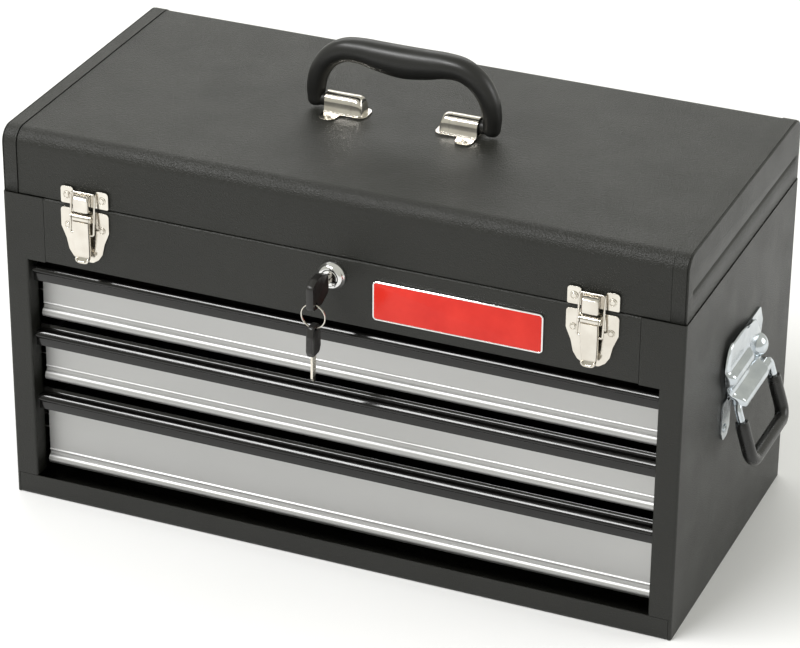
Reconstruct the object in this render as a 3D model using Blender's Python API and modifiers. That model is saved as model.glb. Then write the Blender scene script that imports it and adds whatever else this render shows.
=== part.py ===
"""Portable three-drawer steel tool chest with a lift-up lid.

Metres, +Z up. The origin is the middle of the base's underside, the front faces -Y.
Every piece of sheet metal, hardware and key is its own object. A moving piece hangs
from an empty that stands on its joint's axis.
"""

import math

import bmesh
import bpy
from mathutils import Matrix, Vector

# Driving dimensions
WIDTH = 0.522
DEPTH = 0.254
SEAM_Z = 0.252  # where the lid meets the cabinet
TOP_Z = 0.302  # top of the lid's end caps
SHEET = 0.001  # sheet metal thickness
GAP = 0.0003  # between pieces that touch
BEND = 0.0018  # outer radius of a bend in the sheet

# Cabinet
HALF_W = WIDTH / 2
FRONT_Y = -DEPTH / 2
BACK_Y = DEPTH / 2
CABINET_TOP_Z = SEAM_Z - GAP
STILE = 0.018  # width of the front flange beside the drawers
UPPER_FLANGE = 0.0325  # width of the same flange above the drawers
OPENING_X = HALF_W - STILE
OPENING_LOW_Z = 0.0173
OPENING_TOP_Z = 0.200
STILE_RETURN = 0.014  # depth of the stile's inward return
REAR_FLANGE = 0.012
BASE_RAIL_Z = OPENING_LOW_Z - 0.0006
PAN_WALL = 0.014
UPPER_PANEL_X = HALF_W - UPPER_FLANGE - GAP
TILL_FLOOR_Z = OPENING_TOP_Z + SHEET + GAP
TILL_LIP = 0.010

# Drawers: name, top of the front, underside of the front
DRAWERS = (
    ("top", 0.1944, 0.1458),
    ("middle", 0.1404, 0.0928),
    ("bottom", 0.0866, 0.0209),
)
FRONT_X = 0.240  # half width of a drawer front
PULL_X = 0.242  # half width of its pull rail
TRAY_X = 0.234
BEAD_BACK = 0.0012  # room behind the front for its rolled bead
FASCIA_Y = FRONT_Y + 0.0155  # outer face of the drawer front
TRAY_BACK_Y = 0.112
TRAY_BELOW_TOP = 0.0075  # the tray's rim under the top of its front
RAIL_SET_BACK = 0.0035  # nose of the pull rail behind the cabinet front
RAIL_DROP = 0.0139  # height of the pull rail
RUNNER_LIP = 0.0065
SLIDE_HALF = 0.006
SLIDE_MOUTH_X = 0.237
SLIDE_TRAVEL_CLEAR = 0.0045

# Piano hinge
HINGE_Y = BACK_Y + GAP
HINGE_Z = SEAM_Z
HINGE_X = 0.238
KNUCKLES = 9
KNUCKLE_R = 0.00135  # to the middle of the rolled sheet
LEAF_SHEET = 0.0007
LEAF_Y = BACK_Y - 0.0018
LEAF_REACH = 0.016
HINGE_CLEAR = 0.0032  # sheet edges kept back from the knuckles
PIN_R = 0.0007

# Lid
LID_INSET = 0.0006  # the lid is this much smaller all round than the cabinet
LID_BOTTOM_Z = SEAM_Z + GAP
LID_WRAP_DROP = 0.0006  # the wrap lies this much under the end caps' flanges
CAP_FLANGE = 0.0115
LID_RADIUS = 0.012
LID_HALF_W = HALF_W - LID_INSET
LID_FRONT_Y = FRONT_Y + LID_INSET
WRAP_TOP_Z = TOP_Z - LID_WRAP_DROP

# Latches
LATCH_X = 0.194
LATCH_HALF_W = 0.0192
LATCH_PIVOT = (FRONT_Y - 0.006, 0.2458)  # y, z of the lever's pivot
LATCH_CRANK = 0.0128  # lever pivot to loop pivot
LOOP_BAR = (FRONT_Y - 0.0026, 0.2640)  # y, z of the loop's top bar
TONGUE_LOW_Z = 0.2505
KEEPER_EAR_X = 0.0090  # inner edge of the keeper's riveted ears
LOOP_X = 0.0093
LOOP_WIRE_R = 0.0008
LUG_X = 0.0071
LUG_SHEET = 0.0009
LEVER_HALF_W = 0.0068
LEVER_TIP_Z = 0.2098
TONGUE_HALF_W = 0.0065

# Lock and keys
LOCK_Z = 0.2373
LOCK_HEAD_R = 0.0106
LOCK_BODY_R = 0.008
LOCK_HEAD_Y = FRONT_Y - 0.006
LOCK_REAR_Y = FRONT_Y + 0.022
PLUG_R = 0.006
CAM_REACH = 0.016
KEY_HEAD_LONG = 0.0275
KEY_HEAD_HIGH = 0.023
KEY_HEAD_THICK = 0.0055
KEY_HEAD_Y = FRONT_Y - 0.012  # where the key's head begins, in front of the lock
RING_Y = FRONT_Y - 0.033
RING_R = 0.0092
RING_WIRE_R = 0.0006
RING_Z = 0.2205
SPARE_HEAD_LONG = 0.029
SPARE_HEAD_WIDE = 0.0155
SPARE_HEAD_THICK = 0.0050
SPARE_BLADE = 0.0215

# Carry handle
PIN_AXIS_Z = 0.3090
PIN_HANDLE_R = 0.0052
BRACKET_IN_X = 0.028
BRACKET_OUT_X = 0.060
TUNNEL_R = 0.0062  # to the inner face of the bracket's tunnel
BRACKET_SHEET = 0.0009
# x, z, radius of the grip's centre line, from one leg to the middle
GRIP = (
    (0.0690, 0.3090, 0.0068),
    (0.0692, 0.3190, 0.0072),
    (0.0660, 0.3310, 0.0075),
    (0.0585, 0.3425, 0.0080),
    (0.0465, 0.3503, 0.0085),
    (0.0330, 0.3520, 0.0088),
    (0.0180, 0.3499, 0.0110),
    (0.0000, 0.3482, 0.0126),
)

# Side handles
PLATE_SHEET = 0.0012
SIDE_Y = 0.0085  # middle of the side handle
BAIL_HALF = 0.0380
BAIL_AXIS = (HALF_W + 0.0095, 0.1440)  # x, z
BAIL_DROP = 0.047
BAIL_TILT = math.radians(17)
BAIL_R = 0.0028
GRIP_R = 0.0052
SLEEVE_R = 0.0054
BARREL_END = 0.0090  # from a leg of the bail to the end of the barrel
EMBOSS_R = 0.0060
EMBOSS_Z = 0.1655
DOME = (SIDE_Y + 0.0250, 0.1595)  # y, z
DOME_R = 0.0098
DOME_HEIGHT = 0.0100
EAR_RIVET_Z = 0.1235  # rivets low in the plate's two ears

BADGE = (0.0310, 0.2090, 0.1585, 0.2395)  # low x, z and high x, z


# ---------------------------------------------------------------- scene helpers


def clear_scene():
    for obj in list(bpy.data.objects):
        bpy.data.objects.remove(obj, do_unlink=True)


def new_collection(name):
    collection = bpy.data.collections.new(name)
    bpy.context.scene.collection.children.link(collection)
    return collection


def new_material(name, colour, roughness, metallic):
    material = bpy.data.materials.new(name)
    material.use_nodes = True
    shader = material.node_tree.nodes["Principled BSDF"]
    shader.inputs["Base Color"].default_value = (*colour, 1.0)
    shader.inputs["Roughness"].default_value = roughness
    shader.inputs["Metallic"].default_value = metallic
    material.diffuse_color = (*colour, 1.0)
    return material


clear_scene()
CHEST = new_collection("tool_chest")
CUTTERS = new_collection("cutters")

FINISHES = {
    "black_powder_coat": ((0.045, 0.045, 0.043), 0.55, 0.0),
    "satin_steel": ((0.62, 0.62, 0.61), 0.32, 1.0),
    "gloss_black": ((0.012, 0.012, 0.012), 0.15, 0.0),
    "nickel": ((0.72, 0.68, 0.62), 0.18, 1.0),
    "zinc": ((0.62, 0.66, 0.70), 0.25, 1.0),
    "chrome": ((0.82, 0.82, 0.82), 0.08, 1.0),
    "handle_plastic": ((0.020, 0.020, 0.020), 0.45, 0.0),
    "key_plastic": ((0.025, 0.023, 0.022), 0.40, 0.0),
    "vinyl": ((0.012, 0.012, 0.012), 0.35, 0.0),
    "badge_enamel": ((0.60, 0.03, 0.02), 0.22, 0.0),
}


def finish_object(name, mesh, finish, parent=None, collection=CHEST):
    """Link a mesh whose points are in world space, with its own material."""
    obj = bpy.data.objects.new(name, mesh)
    collection.objects.link(obj)
    if collection is CUTTERS:
        obj.hide_render = True
        obj.display_type = "WIRE"
    else:
        mesh.materials.clear()
        mesh.materials.append(new_material(name, *FINISHES[finish]))
        mesh.shade_smooth()
        mesh.set_sharp_from_angle(angle=math.radians(35))
    if parent is not None:
        obj.parent = parent
        obj.location = -parent.location
    return obj


def joint_empty(name, location, parent=None):
    """An empty on a joint's axis. It is never rotated, so its children stay in world axes."""
    empty = bpy.data.objects.new(name, None)
    empty.empty_display_size = 0.01
    empty.location = Vector(location)
    CHEST.objects.link(empty)
    if parent is not None:
        empty.parent = parent
        empty.location = Vector(location) - parent.matrix_world.translation
        bpy.context.view_layer.update()
    return empty


def boolean(obj, other, operation):
    modifier = obj.modifiers.new(operation.lower(), "BOOLEAN")
    modifier.operation = operation
    modifier.solver = "EXACT"
    modifier.object = other


def join(obj, meshes):
    """Union helper solids, given as world-space meshes, into an object."""
    for index, mesh in enumerate(meshes):
        other = finish_object(f"{obj.name}_add_{index}", mesh, None, obj.parent, CUTTERS)
        boolean(obj, other, "UNION")
    return obj


def cut(obj, meshes):
    for index, mesh in enumerate(meshes):
        other = finish_object(f"{obj.name}_cut_{index}", mesh, None, obj.parent, CUTTERS)
        boolean(obj, other, "DIFFERENCE")
    return obj


# ---------------------------------------------------------------- shape helpers


def box(low, high):
    """A box between two corners."""
    mesh = bpy.data.meshes.new("box")
    bm = bmesh.new()
    middle = [(a + b) / 2 for a, b in zip(low, high)]
    size = [abs(b - a) for a, b in zip(low, high)]
    matrix = Matrix.Translation(middle) @ Matrix.Diagonal((*size, 1.0))
    bmesh.ops.create_cube(bm, size=1.0, matrix=matrix)
    bm.to_mesh(mesh)
    bm.free()
    return mesh


def axis_turn(axis):
    """The rotation that takes +Z to the axis."""
    return Vector((0, 0, 1)).rotation_difference(Vector(axis)).to_matrix().to_4x4()


def cylinder(radius, start, end, segments=16, radius_end=None):
    """A cylinder or cone frustum from one point to another."""
    start, end = Vector(start), Vector(end)
    mesh = bpy.data.meshes.new("cylinder")
    bm = bmesh.new()
    bmesh.ops.create_cone(
        bm,
        cap_ends=True,
        segments=segments,
        radius1=radius,
        radius2=radius if radius_end is None else radius_end,
        depth=(end - start).length,
        matrix=Matrix.Translation((start + end) / 2) @ axis_turn(end - start),
    )
    bm.to_mesh(mesh)
    bm.free()
    return mesh


def rounded(points, radius, steps=3):
    """A polyline with its inner corners replaced by arcs of the given radius."""
    points = [Vector(p) for p in points]
    out = [points[0]]
    for before, here, after in zip(points, points[1:], points[2:]):
        into, away = (before - here).normalized(), (after - here).normalized()
        half = into.angle(away) / 2
        reach = min(radius / math.tan(half), (before - here).length / 2, (after - here).length / 2)
        bisector = (into + away).normalized()
        centre = here + bisector * reach / math.cos(half)
        start, end = here + into * reach - centre, here + away * reach - centre
        turn = start.angle(end)
        for step in range(steps + 1):
            t = step / steps
            arm = start * math.sin((1 - t) * turn) + end * math.sin(t * turn)
            out.append(centre + arm / math.sin(turn))
    out.append(points[-1])
    return out


def extruded_sheet(name, finish, path, start, end, thickness, axis="X", offset=-1.0, parent=None):
    """A bent sheet: an open path in the plane across an axis, drawn out along that axis."""
    places = {
        "X": lambda a, b, s: (s, a, b),
        "Y": lambda a, b, s: (a, s, b),
        "Z": lambda a, b, s: (a, b, s),
    }
    bm = bmesh.new()
    rows = [[bm.verts.new(places[axis](p[0], p[1], s)) for s in (start, end)] for p in path]
    for (a, b), (c, d) in zip(rows, rows[1:]):
        bm.faces.new((a, b, d, c))
    mesh = bpy.data.meshes.new(name)
    bm.to_mesh(mesh)
    bm.free()
    obj = finish_object(name, mesh, finish, parent)
    solidify(obj, thickness, offset)
    return obj


def solidify(obj, thickness, offset=-1.0):
    modifier = obj.modifiers.new("sheet", "SOLIDIFY")
    modifier.thickness = thickness
    modifier.offset = offset
    modifier.use_even_offset = True


def bevel(obj, width, segments=2, angle=50):
    modifier = obj.modifiers.new("edges", "BEVEL")
    modifier.width = width
    modifier.segments = segments
    modifier.limit_method = "ANGLE"
    modifier.angle_limit = math.radians(angle)


def curve_mesh(curve):
    """The welded mesh of a curve datablock."""
    obj = bpy.data.objects.new("curve", curve)
    CHEST.objects.link(obj)
    bpy.context.view_layer.update()
    graph = bpy.context.evaluated_depsgraph_get()
    mesh = bpy.data.meshes.new_from_object(obj.evaluated_get(graph))
    bpy.data.objects.remove(obj, do_unlink=True)
    bm = bmesh.new()
    bm.from_mesh(mesh)
    bmesh.ops.remove_doubles(bm, verts=bm.verts, dist=0.00001)
    bmesh.ops.recalc_face_normals(bm, faces=bm.faces)
    bm.to_mesh(mesh)
    bm.free()
    return mesh


def tube(points, radius, resolution=2, radii=None, closed=False):
    """A round bar along a polyline, with closed ends."""
    curve = bpy.data.curves.new("tube", "CURVE")
    curve.dimensions = "3D"
    curve.bevel_depth = radius
    curve.bevel_resolution = resolution
    curve.use_fill_caps = True
    spline = curve.splines.new("POLY")
    spline.points.add(len(points) - 1)
    spline.use_cyclic_u = closed
    for index, point in enumerate(points):
        spline.points[index].co = (*point, 1.0)
        spline.points[index].radius = 1.0 if radii is None else radii[index] / radius
    return curve_mesh(curve)


def flat_plate(outline, thickness, place):
    """A flat outline of the given thickness, laid out by a matrix."""
    curve = bpy.data.curves.new("plate", "CURVE")
    curve.dimensions = "2D"
    curve.fill_mode = "BOTH"
    curve.extrude = thickness / 2
    spline = curve.splines.new("POLY")
    spline.points.add(len(outline) - 1)
    spline.use_cyclic_u = True
    for index, point in enumerate(outline):
        spline.points[index].co = (point[0], point[1], 0.0, 1.0)
    mesh = curve_mesh(curve)
    mesh.transform(place)
    return mesh


# Plate axes: outline x, y and thickness direction
FACING_FRONT = Matrix(((1, 0, 0, 0), (0, 0, -1, 0), (0, 1, 0, 0), (0, 0, 0, 1)))
FACING_RIGHT = Matrix(((0, 0, 1, 0), (1, 0, 0, 0), (0, 1, 0, 0), (0, 0, 0, 1)))


def rounded_loop(corners, radius, steps=3):
    """A closed outline with every corner rounded."""
    count = len(corners)
    out = []
    for index, corner in enumerate(corners):
        arc = rounded([corners[index - 1], corner, corners[(index + 1) % count]], radius, steps)
        out.extend(arc[1:-1])
    return out


def circle_points(centre, radius, start, end, steps):
    """Points of an arc in a plane, angles in degrees."""
    angles = [math.radians(start + (end - start) * i / steps) for i in range(steps + 1)]
    return [(centre[0] + radius * math.cos(a), centre[1] + radius * math.sin(a)) for a in angles]


def rivet(centre, axis, radius=0.003, height=0.0012):
    """A low domed rivet head as a flattened cone frustum, sunk a little into its plate."""
    centre, axis = Vector(centre), Vector(axis)
    sink = 0.0003
    return cylinder(radius, centre - axis * sink, centre + axis * height, 12, radius * 0.6)


# ---------------------------------------------------------------- cabinet


def side_panel(name, side):
    """Wall, rear flange and front stile of one side, bent from one sheet."""
    x = side * HALF_W
    path = rounded(
        [
            (side * OPENING_X, FRONT_Y + STILE_RETURN),
            (side * OPENING_X, FRONT_Y),
            (x, FRONT_Y),
            (x, BACK_Y),
            (x - side * REAR_FLANGE, BACK_Y),
        ],
        BEND,
    )
    panel = extruded_sheet(
        name, "black_powder_coat", path, GAP, CABINET_TOP_Z, SHEET, axis="Z", offset=side
    )
    inner, outer = sorted((side * (UPPER_PANEL_X + GAP), side * (OPENING_X + 0.003)))
    join(panel, [box((inner, FRONT_Y, OPENING_TOP_Z), (outer, FRONT_Y + SHEET, CABINET_TOP_Z))])
    low, high = sorted((side * (OPENING_X - 0.002), side * (OPENING_X + SHEET + GAP)))
    above_return = box((low, FRONT_Y + SHEET + GAP, OPENING_TOP_Z + GAP), (high, FRONT_Y + 0.02, TOP_Z))
    low, high = sorted((side * (OPENING_X - 0.002), side * (HALF_W - 0.0025)))
    base_notch = box((low, FRONT_Y - 0.001, -0.001), (high, FRONT_Y + 0.016, BASE_RAIL_Z + GAP))
    cut(panel, [above_return, base_notch])
    return panel


def back_panel():
    x = HALF_W - REAR_FLANGE - 0.0005
    sheet = box((-x, BACK_Y - SHEET, GAP), (x, BACK_Y, SEAM_Z - HINGE_CLEAR))
    return finish_object("back_panel", sheet, "black_powder_coat")


def base_pan():
    """Floor pan with a front flange that shows as the rail under the drawers."""
    path = rounded(
        [
            (FRONT_Y, BASE_RAIL_Z),
            (FRONT_Y, 0.0),
            (BACK_Y - SHEET - GAP, 0.0),
            (BACK_Y - SHEET - GAP, PAN_WALL),
        ],
        BEND,
    )
    x = HALF_W - 0.0028
    pan = extruded_sheet("base_pan", "black_powder_coat", path, -x, x, SHEET, offset=1.0)
    walls = []
    for side in (-1, 1):
        low, high = sorted((side * (x - SHEET), side * x))
        walls.append(box((low, FRONT_Y + 0.0005, 0.0005), (high, BACK_Y - SHEET - 0.001, PAN_WALL)))
    return join(pan, walls)


def front_top_panel():
    """Panel above the drawers that carries the lock and the badge."""
    path = rounded(
        [
            (FRONT_Y + 0.015, OPENING_TOP_Z),
            (FRONT_Y, OPENING_TOP_Z),
            (FRONT_Y, CABINET_TOP_Z),
            (FRONT_Y + 0.010, CABINET_TOP_Z),
        ],
        BEND,
    )
    panel = extruded_sheet(
        "front_top_panel", "black_powder_coat", path, -UPPER_PANEL_X, UPPER_PANEL_X, SHEET, offset=-1.0
    )
    hole = cylinder(LOCK_BODY_R + GAP, (0, FRONT_Y - 0.01, LOCK_Z), (0, FRONT_Y + 0.005, LOCK_Z), 20)
    return cut(panel, [hole])


def till_floor():
    """Floor of the compartment under the lid, above the top drawer."""
    y = BACK_Y - SHEET - 0.0005
    path = rounded(
        [(-y, TILL_FLOOR_Z + TILL_LIP), (-y, TILL_FLOOR_Z), (y, TILL_FLOOR_Z), (y, TILL_FLOOR_Z + TILL_LIP)],
        BEND,
    )
    x = HALF_W - SHEET - 0.0005
    return extruded_sheet("till_floor", "black_powder_coat", path, -x, x, SHEET, offset=1.0)


def slide_rails():
    """A channel on each side wall for each drawer."""
    outer = HALF_W - SHEET - 0.0005
    for name, top, low in DRAWERS:
        z = drawer_runner_z(top, low)
        for label, side in (("left", -1), ("right", 1)):
            path = rounded(
                [
                    (side * SLIDE_MOUTH_X, z + SLIDE_HALF),
                    (side * outer, z + SLIDE_HALF),
                    (side * outer, z - SLIDE_HALF),
                    (side * SLIDE_MOUTH_X, z - SLIDE_HALF),
                ],
                BEND,
                1,
            )
            extruded_sheet(
                f"slide_rail_{name}_{label}",
                "satin_steel",
                path,
                FRONT_Y + STILE_RETURN + SLIDE_TRAVEL_CLEAR,
                TRAY_BACK_Y,
                SHEET,
                axis="Y",
                offset=side,
            )


def drawer_runner_z(top, low):
    return (top + low) / 2 + 0.002


# ---------------------------------------------------------------- hinge


def hinge_leaf(name, up, parent):
    """One leaf of the piano hinge: a strip whose every second knuckle is rolled round the pin."""
    away = 1 if up else -1
    bend_z = HINGE_Z + away * 0.0020
    strip = [
        (LEAF_Y, HINGE_Z + away * LEAF_REACH),
        (LEAF_Y, HINGE_Z + away * 0.0037),
    ]
    turn = 300 if up else -300
    roll = [(HINGE_Y - KNUCKLE_R, bend_z)]
    roll += circle_points((HINGE_Y, HINGE_Z), KNUCKLE_R, 180, 180 + turn, 10)
    length = 2 * HINGE_X / KNUCKLES
    cuts = []
    for index in range(KNUCKLES):
        start = -HINGE_X + index * length
        cuts += [start + GAP, start + length - GAP]
    cuts = [-HINGE_X] + cuts[1:-1] + [HINGE_X]
    owns = 1 if up else 0
    bm = bmesh.new()
    grid = [[bm.verts.new((x, y, z)) for (y, z) in strip + roll] for x in cuts]
    for column, (left, right) in enumerate(zip(grid, grid[1:])):
        is_knuckle = column % 2 == 0 and (column // 2) % 2 == owns
        last = len(strip) + len(roll) if is_knuckle else len(strip)
        for row in range(last - 1):
            bm.faces.new((left[row], right[row], right[row + 1], left[row + 1]))
    loose = [v for v in bm.verts if not v.link_faces]
    bmesh.ops.delete(bm, geom=loose, context="VERTS")
    mesh = bpy.data.meshes.new(name)
    bm.to_mesh(mesh)
    bm.free()
    obj = finish_object(name, mesh, "satin_steel", parent)
    solidify(obj, LEAF_SHEET, 0.0)
    return obj


def hinge_pin():
    mesh = cylinder(PIN_R, (-HINGE_X, HINGE_Y, HINGE_Z), (HINGE_X, HINGE_Y, HINGE_Z), 10)
    finish_object("hinge_pin", mesh, "satin_steel")


# ---------------------------------------------------------------- lid


def lid_outline(front, back, top, low):
    """Front wall, rounded edge, top, rounded edge and back wall, as (y, z)."""
    return rounded([(front, low[0]), (front, top), (back, top), (back, low[1])], LID_RADIUS, 5)


def lid_shell(parent):
    x = LID_HALF_W - CAP_FLANGE - GAP
    low = (LID_BOTTOM_Z, SEAM_Z + HINGE_CLEAR)
    path = lid_outline(LID_FRONT_Y + LID_WRAP_DROP, BACK_Y, WRAP_TOP_Z, low)
    return extruded_sheet("lid_shell", "black_powder_coat", path, -x, x, SHEET, parent=parent)


def lid_end_cap(name, side, parent):
    """End wall with a flange that laps beside the lid's wrap."""
    outline = lid_outline(LID_FRONT_Y, BACK_Y, TOP_Z, (LID_BOTTOM_Z, LID_BOTTOM_Z))
    bm = bmesh.new()
    wall = [bm.verts.new((side * LID_HALF_W, y, z)) for y, z in outline]
    rim = [bm.verts.new((side * (LID_HALF_W - CAP_FLANGE), y, z)) for y, z in outline]
    bm.faces.new(wall if side > 0 else wall[::-1])
    for a, b, c, d in zip(wall, wall[1:], rim[1:], rim):
        bm.faces.new((a, b, c, d) if side < 0 else (d, c, b, a))
    bmesh.ops.recalc_face_normals(bm, faces=bm.faces)
    mesh = bpy.data.meshes.new(name)
    bm.to_mesh(mesh)
    bm.free()
    cap = finish_object(name, mesh, "black_powder_coat", parent)
    outward = cap.data.polygons[0].normal.x * side
    bevel(cap, 0.0012, 2, 60)
    solidify(cap, SHEET, -1.0 if outward > 0 else 1.0)
    return cap


def lid_catch(parent):
    """Bracket inside the lid that the lock's cam turns over."""
    path = [
        (FRONT_Y + 0.0030, 0.280),
        (FRONT_Y + 0.0030, 0.257),
        (FRONT_Y + 0.0285, 0.257),
        (FRONT_Y + 0.0285, 0.2295),
        (FRONT_Y + 0.0190, 0.2295),
    ]
    obj = extruded_sheet(
        "lid_catch", "satin_steel", rounded(path, BEND, 2), 0.0095, 0.024, SHEET, offset=0.0, parent=parent
    )
    return obj


# ---------------------------------------------------------------- latches


def latch_plate(name, x):
    """Shield-shaped plate on the cabinet, with two lugs for the lever's trunnions."""
    top, shoulder, tip = 0.2497, 0.2345, 0.2084
    half = [(LATCH_HALF_W, top), (LATCH_HALF_W, shoulder), (0.0150, 0.2245), (0.0128, 0.2155), (0.0070, tip)]
    outline = rounded_loop(half[::-1] + [(-a, b) for a, b in half], 0.003, 2)
    y = FRONT_Y - GAP - SHEET / 2
    place = Matrix.Translation((x, y, 0)) @ FACING_FRONT
    plate = finish_object(name, flat_plate(outline, SHEET, place), "nickel")
    pivot_y, pivot_z = LATCH_PIVOT
    adds = []
    for side in (-1, 1):
        lug = [(pivot_y, pivot_z - 0.003), (FRONT_Y - GAP - 0.0004, pivot_z - 0.0042)]
        lug += [(FRONT_Y - GAP - 0.0004, pivot_z + 0.0042), (pivot_y, pivot_z + 0.003)]
        lug += circle_points(LATCH_PIVOT, 0.003, 90, 270, 6)[1:-1]
        middle = x + side * (LUG_X + LUG_SHEET / 2)
        adds.append(flat_plate(lug, LUG_SHEET, Matrix.Translation((middle, 0, 0)) @ FACING_RIGHT))
        adds.append(rivet((x + side * 0.0138, y - SHEET / 2, 0.2358), (0, -1, 0), 0.0027, 0.0008))
    join(plate, adds)
    hole = cylinder(0.0014, (x - 0.012, pivot_y, pivot_z), (x + 0.012, pivot_y, pivot_z), 12)
    return cut(plate, [hole])


def latch_keeper(name, x, parent):
    """Two riveted ears on the lid and the hump that the loop's bar pulls down on."""
    ear, top, low, saddle = KEEPER_EAR_X, 0.2662, 0.2526, 0.2625
    outline = [
        (-LATCH_HALF_W, low),
        (LATCH_HALF_W, low),
        (LATCH_HALF_W, top),
        (ear, top),
        (ear, saddle),
        (-ear, saddle),
        (-ear, top),
        (-LATCH_HALF_W, top),
    ]
    y = LID_FRONT_Y - GAP - SHEET / 2
    place = Matrix.Translation((x, y, 0)) @ FACING_FRONT
    keeper = finish_object(name, flat_plate(rounded_loop(outline, 0.0015, 2), SHEET, place), "nickel", parent)
    bar_y, bar_z = LOOP_BAR
    profile = [
        (y, bar_z - 0.0045),
        (y - 0.0004, bar_z - 0.0032),
        (bar_y - 0.0016, bar_z - 0.0028),
        (bar_y - 0.0034, bar_z - 0.0014),
        (bar_y - 0.0046, bar_z - 0.0008),
        (bar_y - 0.0053, bar_z - 0.0018),
        (bar_y - 0.0053, TONGUE_LOW_Z),
    ]
    tongue = strip_mesh(profile, x - TONGUE_HALF_W, x + TONGUE_HALF_W, 0.0008)
    adds = [tongue]
    for side in (-1, 1):
        adds.append(rivet((x + side * 0.0140, y - SHEET / 2, 0.2594), (0, -1, 0), 0.0028))
    return join(keeper, adds)


def strip_mesh(profile, low_x, high_x, thickness):
    """A closed strip along a (y, z) profile, as a mesh to be joined to a plate."""
    points = [Vector(p) for p in profile]
    left, right = [], []
    for index, point in enumerate(points):
        ahead = points[min(index + 1, len(points) - 1)]
        behind = points[max(index - 1, 0)]
        along = (ahead - behind).normalized()
        normal = Vector((-along.y, along.x)) * thickness / 2
        left.append(point + normal)
        right.append(point - normal)
    outline = left + right[::-1]
    place = Matrix.Translation(((low_x + high_x) / 2, 0, 0)) @ FACING_RIGHT
    return flat_plate(outline, high_x - low_x, place)


def latch_lever(name, x, parent):
    """Rolled pivot, tapering face with side cheeks, and the trunnion pin through the roll."""
    pivot_y, pivot_z = LATCH_PIVOT
    roll_r = 0.0031
    face_y = pivot_y - roll_r
    profile = [
        (face_y + 0.0005, pivot_z + 0.0010),
        (face_y + 0.0004, pivot_z - 0.0080),
        (face_y + 0.0010, pivot_z - 0.0180),
        (face_y + 0.0026, pivot_z - 0.0290),
        (face_y + 0.0018, LEVER_TIP_Z),
    ]
    lever = finish_object(
        name, strip_mesh(profile, x - LEVER_HALF_W, x + LEVER_HALF_W, 0.0010), "nickel", parent
    )
    adds = [
        cylinder(roll_r, (x - LEVER_HALF_W, pivot_y, pivot_z), (x + LEVER_HALF_W, pivot_y, pivot_z), 16),
        cylinder(0.0011, (x - 0.0083, pivot_y, pivot_z), (x + 0.0083, pivot_y, pivot_z), 12),
    ]
    loop_z = pivot_z - LATCH_CRANK
    for side in (-1, 1):
        cheek = [
            (face_y + 0.0003, pivot_z),
            (pivot_y + 0.0022, pivot_z),
            (pivot_y + 0.0022, loop_z - 0.0022),
            (face_y + 0.0007, loop_z - 0.0070),
        ]
        middle = x + side * (LEVER_HALF_W - 0.0005)
        adds.append(flat_plate(cheek, 0.0010, Matrix.Translation((middle, 0, 0)) @ FACING_RIGHT))
    join(lever, adds)
    hole = cylinder(0.0012, (x - 0.012, pivot_y, loop_z), (x + 0.012, pivot_y, loop_z), 12)
    return cut(lever, [hole])


def latch_loop(name, x, parent):
    """Wire loop: two turned-in ends in the lever's cheeks and the bar over the lid's hump."""
    foot_y, foot_z = LATCH_PIVOT[0], LATCH_PIVOT[1] - LATCH_CRANK
    bar_y, bar_z = LOOP_BAR
    inner = 0.0061
    half = [(inner, foot_y, foot_z), (LOOP_X, foot_y, foot_z), (LOOP_X, bar_y, bar_z)]
    corners = [(x - a, b, c) for a, b, c in half] + [(x + a, b, c) for a, b, c in half[::-1]]
    return finish_object(name, tube(rounded(corners, 0.0016, 3), LOOP_WIRE_R, 1), "nickel", parent)


def latches(lid):
    for label, side in (("left", -1), ("right", 1)):
        x = side * LATCH_X
        latch_plate(f"latch_plate_{label}", x)
        latch_keeper(f"latch_keeper_{label}", x, lid)
        pivot = joint_empty(f"latch_lever_axis_{label}", (x, *LATCH_PIVOT))
        latch_lever(f"latch_lever_{label}", x, pivot)
        foot = joint_empty(
            f"latch_loop_axis_{label}", (x, LATCH_PIVOT[0], LATCH_PIVOT[1] - LATCH_CRANK), pivot
        )
        loop_parent_place(latch_loop(f"latch_loop_{label}", x, foot), foot)


def loop_parent_place(obj, empty):
    """Put world-space geometry right under an empty that itself hangs from another."""
    bpy.context.view_layer.update()
    obj.location = -empty.matrix_world.translation


# ---------------------------------------------------------------- lock and keys


def turned(profile, steps=24):
    """A solid of revolution about the Y axis. The profile is (radius, y), outer side from high y down."""
    mesh = bpy.data.meshes.new("turned")
    bm = bmesh.new()
    ring = [bm.verts.new((radius, 0, along)) for radius, along in profile]
    for a, b in zip(ring, ring[1:] + ring[:1]):
        bm.edges.new((a, b))
    bm.to_mesh(mesh)
    bm.free()
    obj = bpy.data.objects.new("turned", mesh)
    CHEST.objects.link(obj)
    screw = obj.modifiers.new("turn", "SCREW")
    screw.steps = steps
    screw.render_steps = steps
    screw.use_merge_vertices = True
    screw.merge_threshold = 0.00001
    screw.use_normal_calculate = True
    bpy.context.view_layer.update()
    graph = bpy.context.evaluated_depsgraph_get()
    result = bpy.data.meshes.new_from_object(obj.evaluated_get(graph))
    bpy.data.objects.remove(obj, do_unlink=True)
    bm = bmesh.new()
    bm.from_mesh(result)
    bmesh.ops.remove_doubles(bm, verts=bm.verts, dist=0.00001)
    bmesh.ops.recalc_face_normals(bm, faces=bm.faces)
    bm.to_mesh(result)
    bm.free()
    result.transform(Matrix.Translation((0, 0, LOCK_Z)) @ Matrix.Rotation(-math.pi / 2, 4, "X"))
    return result


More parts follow.
